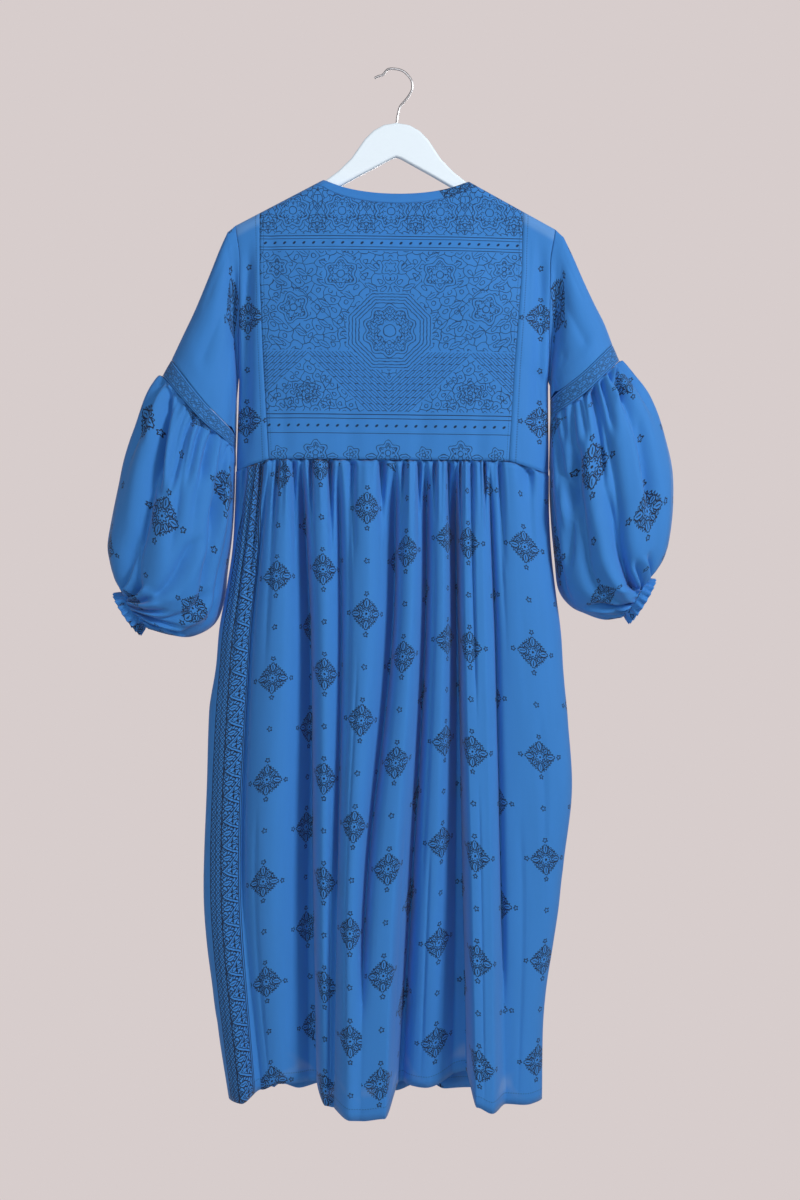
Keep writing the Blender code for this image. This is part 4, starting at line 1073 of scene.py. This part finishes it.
class DRESS_OT_sleeves(bpy.types.Operator):
    """Builds the upper sleeves, printed bands, balloons and cuffs of both arms"""

    bl_idname = "dress.sleeves"
    bl_label = "Sleeves"

    def execute(self, context):
        lattice = mask_group("print_spray", spray_mask)
        border = mask_group("print_band", band_mask)
        band_look = crepe("band_print", [(border, (0.0, 0.0), 0, None)], cover=0.62)
        for end, sign, upper, band, balloon, troughs, slants, tilt, placed in (
                ("left", -1, LEFT_UPPER, LEFT_BAND, LEFT_BALLOON, LEFT_TROUGHS, LEFT_SLANTS, 8,
                 ((0.085, 0.022), (0.045, 0.075))),
                ("right", 1, RIGHT_UPPER, RIGHT_BAND, RIGHT_BALLOON, RIGHT_TROUGHS, RIGHT_SLANTS, -8,
                 ((0.080, 0.022), (0.055, 0.060)))):
            arm_look = crepe(f"arm_print_{end}", [(lattice, placed[0], tilt, (1, -1.0, 0.055))])
            balloon_look = crepe(f"balloon_print_{end}", [(lattice, placed[1], tilt, None)])

            def armhole(angle, sign=sign):
                girth = UNDERARM_GIRTH * (1 - cos(angle)) / 2
                side = -1 if sin(angle) > 0 else 1
                depth = edge_depth(girth) if 0.001 < girth < UNDERARM_GIRTH - 0.001 else 0.0
                return Vector((sign * (edge_x(girth) + ARMHOLE_GAP), side * depth,
                               shoulder(edge_x(girth)) - roll_drop(girth)))

            def arm(s, t, upper=upper, armhole=armhole, sign=sign):
                angle = 2 * pi * s
                place = t * len(upper)
                if place < 1:
                    point = armhole(angle).lerp(sleeve_point(upper, (), angle, 0.0), place)
                else:
                    point = sleeve_point(upper, ARM_CREASES, angle, (place - 1) / (len(upper) - 1))
                low = smooth((1 - cos(angle)) / 2 * 2.2 - 0.2)
                point.y *= 1 - 0.62 * low * smooth(place / 0.6) * exp(-((max(place - 0.8, 0.0) / 1.0) ** 2))
                return drawn_in(point, sign, angle) if place > 1 else point

            down = cells(54)
            line = [arm(0.25, j / down) for j in range(down + 1)]
            run = [0.0]
            for before, after in zip(line, line[1:]):
                run.append(run[-1] + (after - before).length)
            made = cloth_piece(f"cloth_upper_sleeve_{end}", (cells(120), down), arm,
                               lambda s, t, _, run=run, down=down: (0.34 * s, run[round(t * down)]), arm_look,
                               wrap=True)
            self.finish_tube(made, f"upper_sleeve_{end}", "blue_crepe", (0.38, 0.22),
                             0.043 if sign < 0 else 0.034, [f"back_side_{end}", f"front_side_{end}"])
            made = cloth_piece(f"cloth_sleeve_band_{end}", (cells(120), cells(8)),
                               lambda s, t, band=band, sign=sign: drawn_in(
                                   sleeve_point(band, (), 2 * pi * s, t), sign, 2 * pi * s),
                               lambda s, t, _: (0.29 * s, 0.022 * (t - 0.5)), band_look, wrap=True)
            self.finish_tube(made, f"sleeve_band_{end}", "blue_border_print", (0.27, 0.025), None,
                             [f"cloth_upper_sleeve_{end}"])
            made = cloth_piece(f"cloth_balloon_{end}", (cells(260), cells(110)),
                               lambda s, t, b=balloon, f=troughs, c=slants, sign=sign: drawn_in(
                                   self.balloon_point(b, f, c, 2 * pi * s, t), sign, 2 * pi * s,
                                   smooth((0.66 - t) / 0.36)),
                               lambda s, t, _: (0.44 * s, 0.33 * t), balloon_look, wrap=True)
            self.finish_tube(made, f"balloon_{end}", "blue_crepe_print", (0.50, 0.34), 0.15,
                             [f"cloth_sleeve_band_{end}"])
            made = cloth_piece(f"cloth_cuff_{end}", (cells(360), cells(8)),
                               lambda s, t, ring=balloon[-1], sign=sign: self.cuff_point(
                                   ring, sign, 2 * pi * s, t),
                               lambda s, t, _: (0.30 * s, 0.013 * t), balloon_look, wrap=True)
            self.finish_tube(made, f"cuff_{end}", "blue_crepe", (0.29, 0.0125), None,
                             [f"cloth_balloon_{end}"])
        return {"FINISHED"}

    def finish_tube(self, made, node, slot, flat, area, held_by):
        """Turns a tube's faces out and hides the solid it stands for."""
        extra = {"area": area} if area else {}
        declare(made, node, slot, lambda at: Vector((0, at.y, 0)), flat=flat,
                held="gathered" if "balloon" in node else "hung", rests_on=held_by, **extra)

    def balloon_point(self, rings, troughs, slants, angle, v):
        """The balloon with its folds and the small gathers at both ends."""
        px, pz, qx, qz = ring_values(rings, v)[:4]
        point = sleeve_point(rings, troughs, angle, v)
        centre = Vector(((px + qx) / 2, 0.0, (pz + qz) / 2))
        near_band = max(1 - v / 0.30, 0.0) * smooth(v / 0.03)
        near_cuff = max(1 - (1 - v) / 0.20, 0.0)
        ripple = 0.0030 * near_band * (cos(angle * 22) + 0.6 * cos(angle * 15 + 1.0))
        ripple += 0.0026 * near_cuff * (cos(angle * 20) + 0.4 * cos(angle * 13 + 2.0))
        slack = 0.0016 * sin(pi * v) * (sin(angle * 7 + 5 * v) + 0.6 * sin(angle * 11 - 9 * v + 1.7))
        turn = angle * 180 / pi
        slack += 0.0065 * smooth(v / 0.08) * max(1 - v / 0.5, 0.0) * exp(-(((turn - 180) / 34) ** 2))
        turn = turn if turn < 180 else 367 - turn
        for before, after, start, end, wide, deep in slants:
            t = (v - start) / (end - start)
            if 0 < t < 1:
                off = (turn - mix(before, after, t)) / wide
                if abs(off) < 5:
                    run = 1.75 * deep * smooth(t / 0.22) * smooth((1 - t) / 0.25)
                    slack += run * (0.45 * exp(-((off - 2.0) ** 2) / 1.8) - exp(-abs(off) ** 1.5))
        return point + (point - centre).normalized() * (ripple + slack)

    def cuff_point(self, ring, sign, angle, t):
        px, pz, qx, qz, half, _ = ring
        axis = across(ring, sign)
        chord = Vector((qx - px, 0.0, qz - pz)) / 2
        centre = Vector(((px + qx) / 2, 0.0, (pz + qz) / 2))
        radial = -chord.normalized() * cos(angle) + Vector((0, -1, 0)) * sin(angle)
        swing = uneven(int(angle * CUFF_WAVES / (2 * pi) + 0.5) % CUFF_WAVES)
        wave = CUFF_WAVE_DEEP * t * cos(CUFF_WAVES * angle) * (0.7 + 0.5 * swing)
        pinch = -0.0012 * exp(-(((t - 0.12) / 0.14) ** 2))
        reach = CUFF_FLARE * t + wave + pinch
        point = centre - chord * cos(angle) + Vector((0, -half, 0)) * sin(angle)
        return point + radial * reach + axis * (SEAM + CUFF_WIDE * t)


class DRESS_OT_skirt(bpy.types.Operator):
    """Builds the gathered skirt, back and front, with its folds, hem and printed strip"""

    bl_idname = "dress.skirt"
    bl_label = "Skirt"

    def execute(self, context):
        lattice = mask_group("print_spray", spray_mask)
        strip = mask_group("print_border", border_mask)
        sprays = (lattice, (0.0, 0.2976), 0, None)
        hem = (SKIRT_LONG, 0.012)
        back = crepe("skirt_print_back", [sprays, (strip, (STRIP_AT, 0.0), 0, None)], hem)
        front = crepe("skirt_print_front", [sprays], hem)
        for name, folds, creases, side, look, count, flat, laid in (
                ("skirt_back", BACK_FOLDS, BACK_CREASES, -1, back, 408, (0.68, 0.88), BACK_PRINT),
                ("skirt_front", FRONT_FOLDS, FRONT_CREASES, 1, front, 312, (0.66, 0.88), FRONT_PRINT)):
            lines = len(folds) + 1
            across_cells, down_cells = cells(count) // lines * lines, cells(112)

            def spread(s, lines=lines):
                """Place on the folds, closer at both side seams where the cloth turns away."""
                place = s * lines
                if place < 1:
                    return 1 - cos(pi / 2 * place)
                if place > lines - 1:
                    return lines - 1 + sin(pi / 2 * (place - lines + 1))
                return place

            def shaped(s, t, f=folds, c=creases, side=side, spread=spread):
                return skirt_point(f, c, side, spread(s), t ** 1.25)

            runs = self.runs(shaped, across_cells, down_cells)

            def cloth_at(s, t, middle, runs=runs, laid=laid, lines=lines, n=(across_cells, down_cells)):
                """Distance along the cloth from the line its stretch is laid from, and below the waist."""
                row = runs[round(t * n[1])]
                stretch = [r for r in laid if r[0] <= middle * lines <= r[1]][0]
                start = row[round(stretch[2] / lines * n[0])]
                shift = 0.009 * max(1 - t / 0.35, 0.0) if stretch[3] < -0.5 else 0.0
                return stretch[3] - shift + row[round(s * n[0])] - start, SKIRT_LONG * t ** 1.25 + stretch[4]

            made = cloth_piece(f"cloth_{name}", (across_cells, down_cells), shaped, cloth_at, look)
            declare(made, name, "blue_crepe_print", partial(facing, side), flat=flat, held="gathered",
                    rests_on=["cloth_back_yoke", "cloth_front_yoke"])
        return {"FINISHED"}

    def runs(self, shaped, across_cells, down_cells):
        """Distance along the cloth from the left seam to each grid point, a list for each row."""
        rows = []
        for j in range(down_cells + 1):
            line = [shaped(i / across_cells, j / down_cells) for i in range(across_cells + 1)]
            run = [0.0]
            for before, after in zip(line, line[1:]):
                run.append(run[-1] + (after.xy - before.xy).length)
            rows.append(run)
        return rows


class DRESS_OT_hanger(bpy.types.Operator):
    """Builds the white hanger and its wire hook"""

    bl_idname = "dress.hanger"
    bl_label = "Hanger"

    def execute(self, context):
        # The hanger's glow is painted light: a faint bluish emission that lightens the white paint without a
        # lamp
        paint = plain_look("hanger_paint", (0.86, 0.945, 0.985), 0.42, 9.0, 0.02, coat=0.2,
                           glow=(0.01, 0.05, 0.10))
        wire = plain_look("hook_metal", (0.70, 0.71, 0.74), 0.34, 40.0, 0.005, metallic=1.0)
        data = bpy.data.curves.new("hanger_wood", "CURVE")
        wood = bpy.data.objects.new("hanger_wood", data)
        data.dimensions = "2D"
        data.fill_mode = "BOTH"
        data.extrude = 0.0025
        data.bevel_depth = 0.003
        data.bevel_resolution = 4
        data.offset = -0.003
        line = [*WOOD_HALF, NOTCH, *[(-x, z) for x, z in reversed(WOOD_HALF[1:])]]
        spline = data.splines.new("POLY")
        spline.points.add(len(line) - 1)
        spline.use_cyclic_u = True
        for point, (x, z) in zip(spline.points, line):
            point.co = (x, z, 0.0, 1.0)
        wood.matrix_world = Matrix.Translation(GARMENT_ZERO) @ Matrix.Rotation(radians(90), 4, "X")
        self.finish_solid(context, wood, paint, "hanger_body", "white_wood")

        data = bpy.data.curves.new("hook_curve", "CURVE")
        hook = bpy.data.objects.new("hanger_wire", data)
        data.dimensions = "3D"
        data.bevel_depth = HOOK_WIRE
        data.bevel_resolution = 5
        data.use_fill_caps = True
        spline = data.splines.new("NURBS")
        spline.points.add(len(HOOK_LINE) - 1)
        spline.use_endpoint_u = True
        spline.order_u = 3
        for point, (x, z) in zip(spline.points, HOOK_LINE):
            point.co = (x, 0.0, z, 1.0)
        self.finish_solid(context, hook, wire, "hanger_hook", "hook_wire")
        return {"FINISHED"}

    def finish_solid(self, context, curve, look, node, slot):
        context.scene.collection.objects.link(curve)
        data = bpy.data.meshes.new_from_object(curve.evaluated_get(context.evaluated_depsgraph_get()))
        data.transform(curve.matrix_world)
        name = curve.name
        bpy.data.objects.remove(curve)
        made = bpy.data.objects.new(name, data)
        context.scene.collection.objects.link(made)
        data.materials.clear()
        data.materials.append(look)
        data.set_sharp_from_angle(angle=radians(35))
        for face in data.polygons:
            face.use_smooth = True
        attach(made, "root")
        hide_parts(node)


class DRESS_OT_stage(bpy.types.Operator):
    """Adds the floor, the soft lights, the pale surroundings and the camera"""

    bl_idname = "dress.stage"
    bl_label = "Studio"

    def execute(self, context):
        settings = context.scene.dress
        mesh = bmesh.new()
        bmesh.ops.create_circle(mesh, cap_ends=True, segments=96, radius=1.1)
        floor = in_scene("floor", mesh, plain_look("floor_paint", (0.70, 0.65, 0.65), 0.8, 6.0, 0.05))
        floor.location = (0.0, 0.0, -1.95)

        world = bpy.data.worlds.new("studio")
        world.use_nodes = True
        sky = world.node_tree.nodes["Background"]
        sky.inputs["Color"].default_value = (0.680, 0.610, 0.605, 1.0)
        seen = add_node(world.node_tree, "LightPath")[0]
        put(sky.inputs["Strength"], seen * (1 - settings.ambient) + settings.ambient)
        context.scene.world = world

        for name, at, target, size, share in (
                ("key_light", (2.3, -1.9, 0.75), (0.0, 0.0, -0.7), 0.75, 1.0),
                ("fill_light", (-0.6, -3.2, -0.2), (0.0, 0.0, -0.7), 1.8, 0.35),
                ("side_light", (-2.4, -1.7, -0.8), (-0.1, 0.0, -0.8), 1.2, 0.10),
                ("rear_light", (0.9, 3.0, 0.4), (0.0, 0.0, -0.7), 1.8, 0.9)):
            self.soft_light(name, at, target, size, settings.light * share)

        view = bpy.data.cameras.new("photo_view")
        camera = bpy.data.objects.new("photo_view", view)
        view.sensor_width = 36.0
        view.lens = 36.0 * settings.camera_far / settings.frame_high
        roll = Matrix.Rotation(radians(-0.7), 4, "Y")
        look = Matrix.Rotation(radians(90), 4, "X")
        camera.matrix_world = Matrix.Translation((0.0182, -settings.camera_far, -0.7153)) @ roll @ look
        context.scene.collection.objects.link(camera)
        context.scene.camera = camera
        context.scene.view_settings.view_transform = "Standard"
        return {"FINISHED"}

    def soft_light(self, name, at, target, size, power):
        data = bpy.data.lights.new(name, "AREA")
        data.size = size
        data.energy = power
        lamp = bpy.data.objects.new(name, data)
        lamp.location = at
        lamp.rotation_euler = (Vector(target) - Vector(at)).to_track_quat("-Z", "Y").to_euler()
        bpy.context.scene.collection.objects.link(lamp)


class DRESS_PT_panel(bpy.types.Panel):
    """The dress's settings and the steps that build it"""

    bl_label = "Maxi dress"
    bl_idname = "DRESS_PT_panel"
    bl_space_type = "VIEW_3D"
    bl_region_type = "UI"
    bl_category = "Dress"

    def draw(self, context):
        settings = context.scene.dress
        for name in DressSettings.__annotations__:
            self.layout.prop(settings, name)
        for step in STEPS:
            self.layout.operator(step.bl_idname)


STEPS = (DRESS_OT_bodice, DRESS_OT_sleeves, DRESS_OT_skirt, DRESS_OT_hanger, DRESS_OT_stage)
CLASSES = (DressSettings, *STEPS, DRESS_PT_panel)


def register():
    for made in CLASSES:
        bpy.utils.register_class(made)
    bpy.types.Scene.dress = PointerProperty(type=DressSettings)


def unregister():
    del bpy.types.Scene.dress
    for made in reversed(CLASSES):
        bpy.utils.unregister_class(made)


def main():
    register()
    bpy.ops.dress.bodice()
    bpy.ops.dress.sleeves()
    bpy.ops.dress.skirt()
    bpy.ops.dress.hanger()
    bpy.ops.dress.stage()
    bpy.context.view_layer.update()


if __name__ == "__main__":
    main()
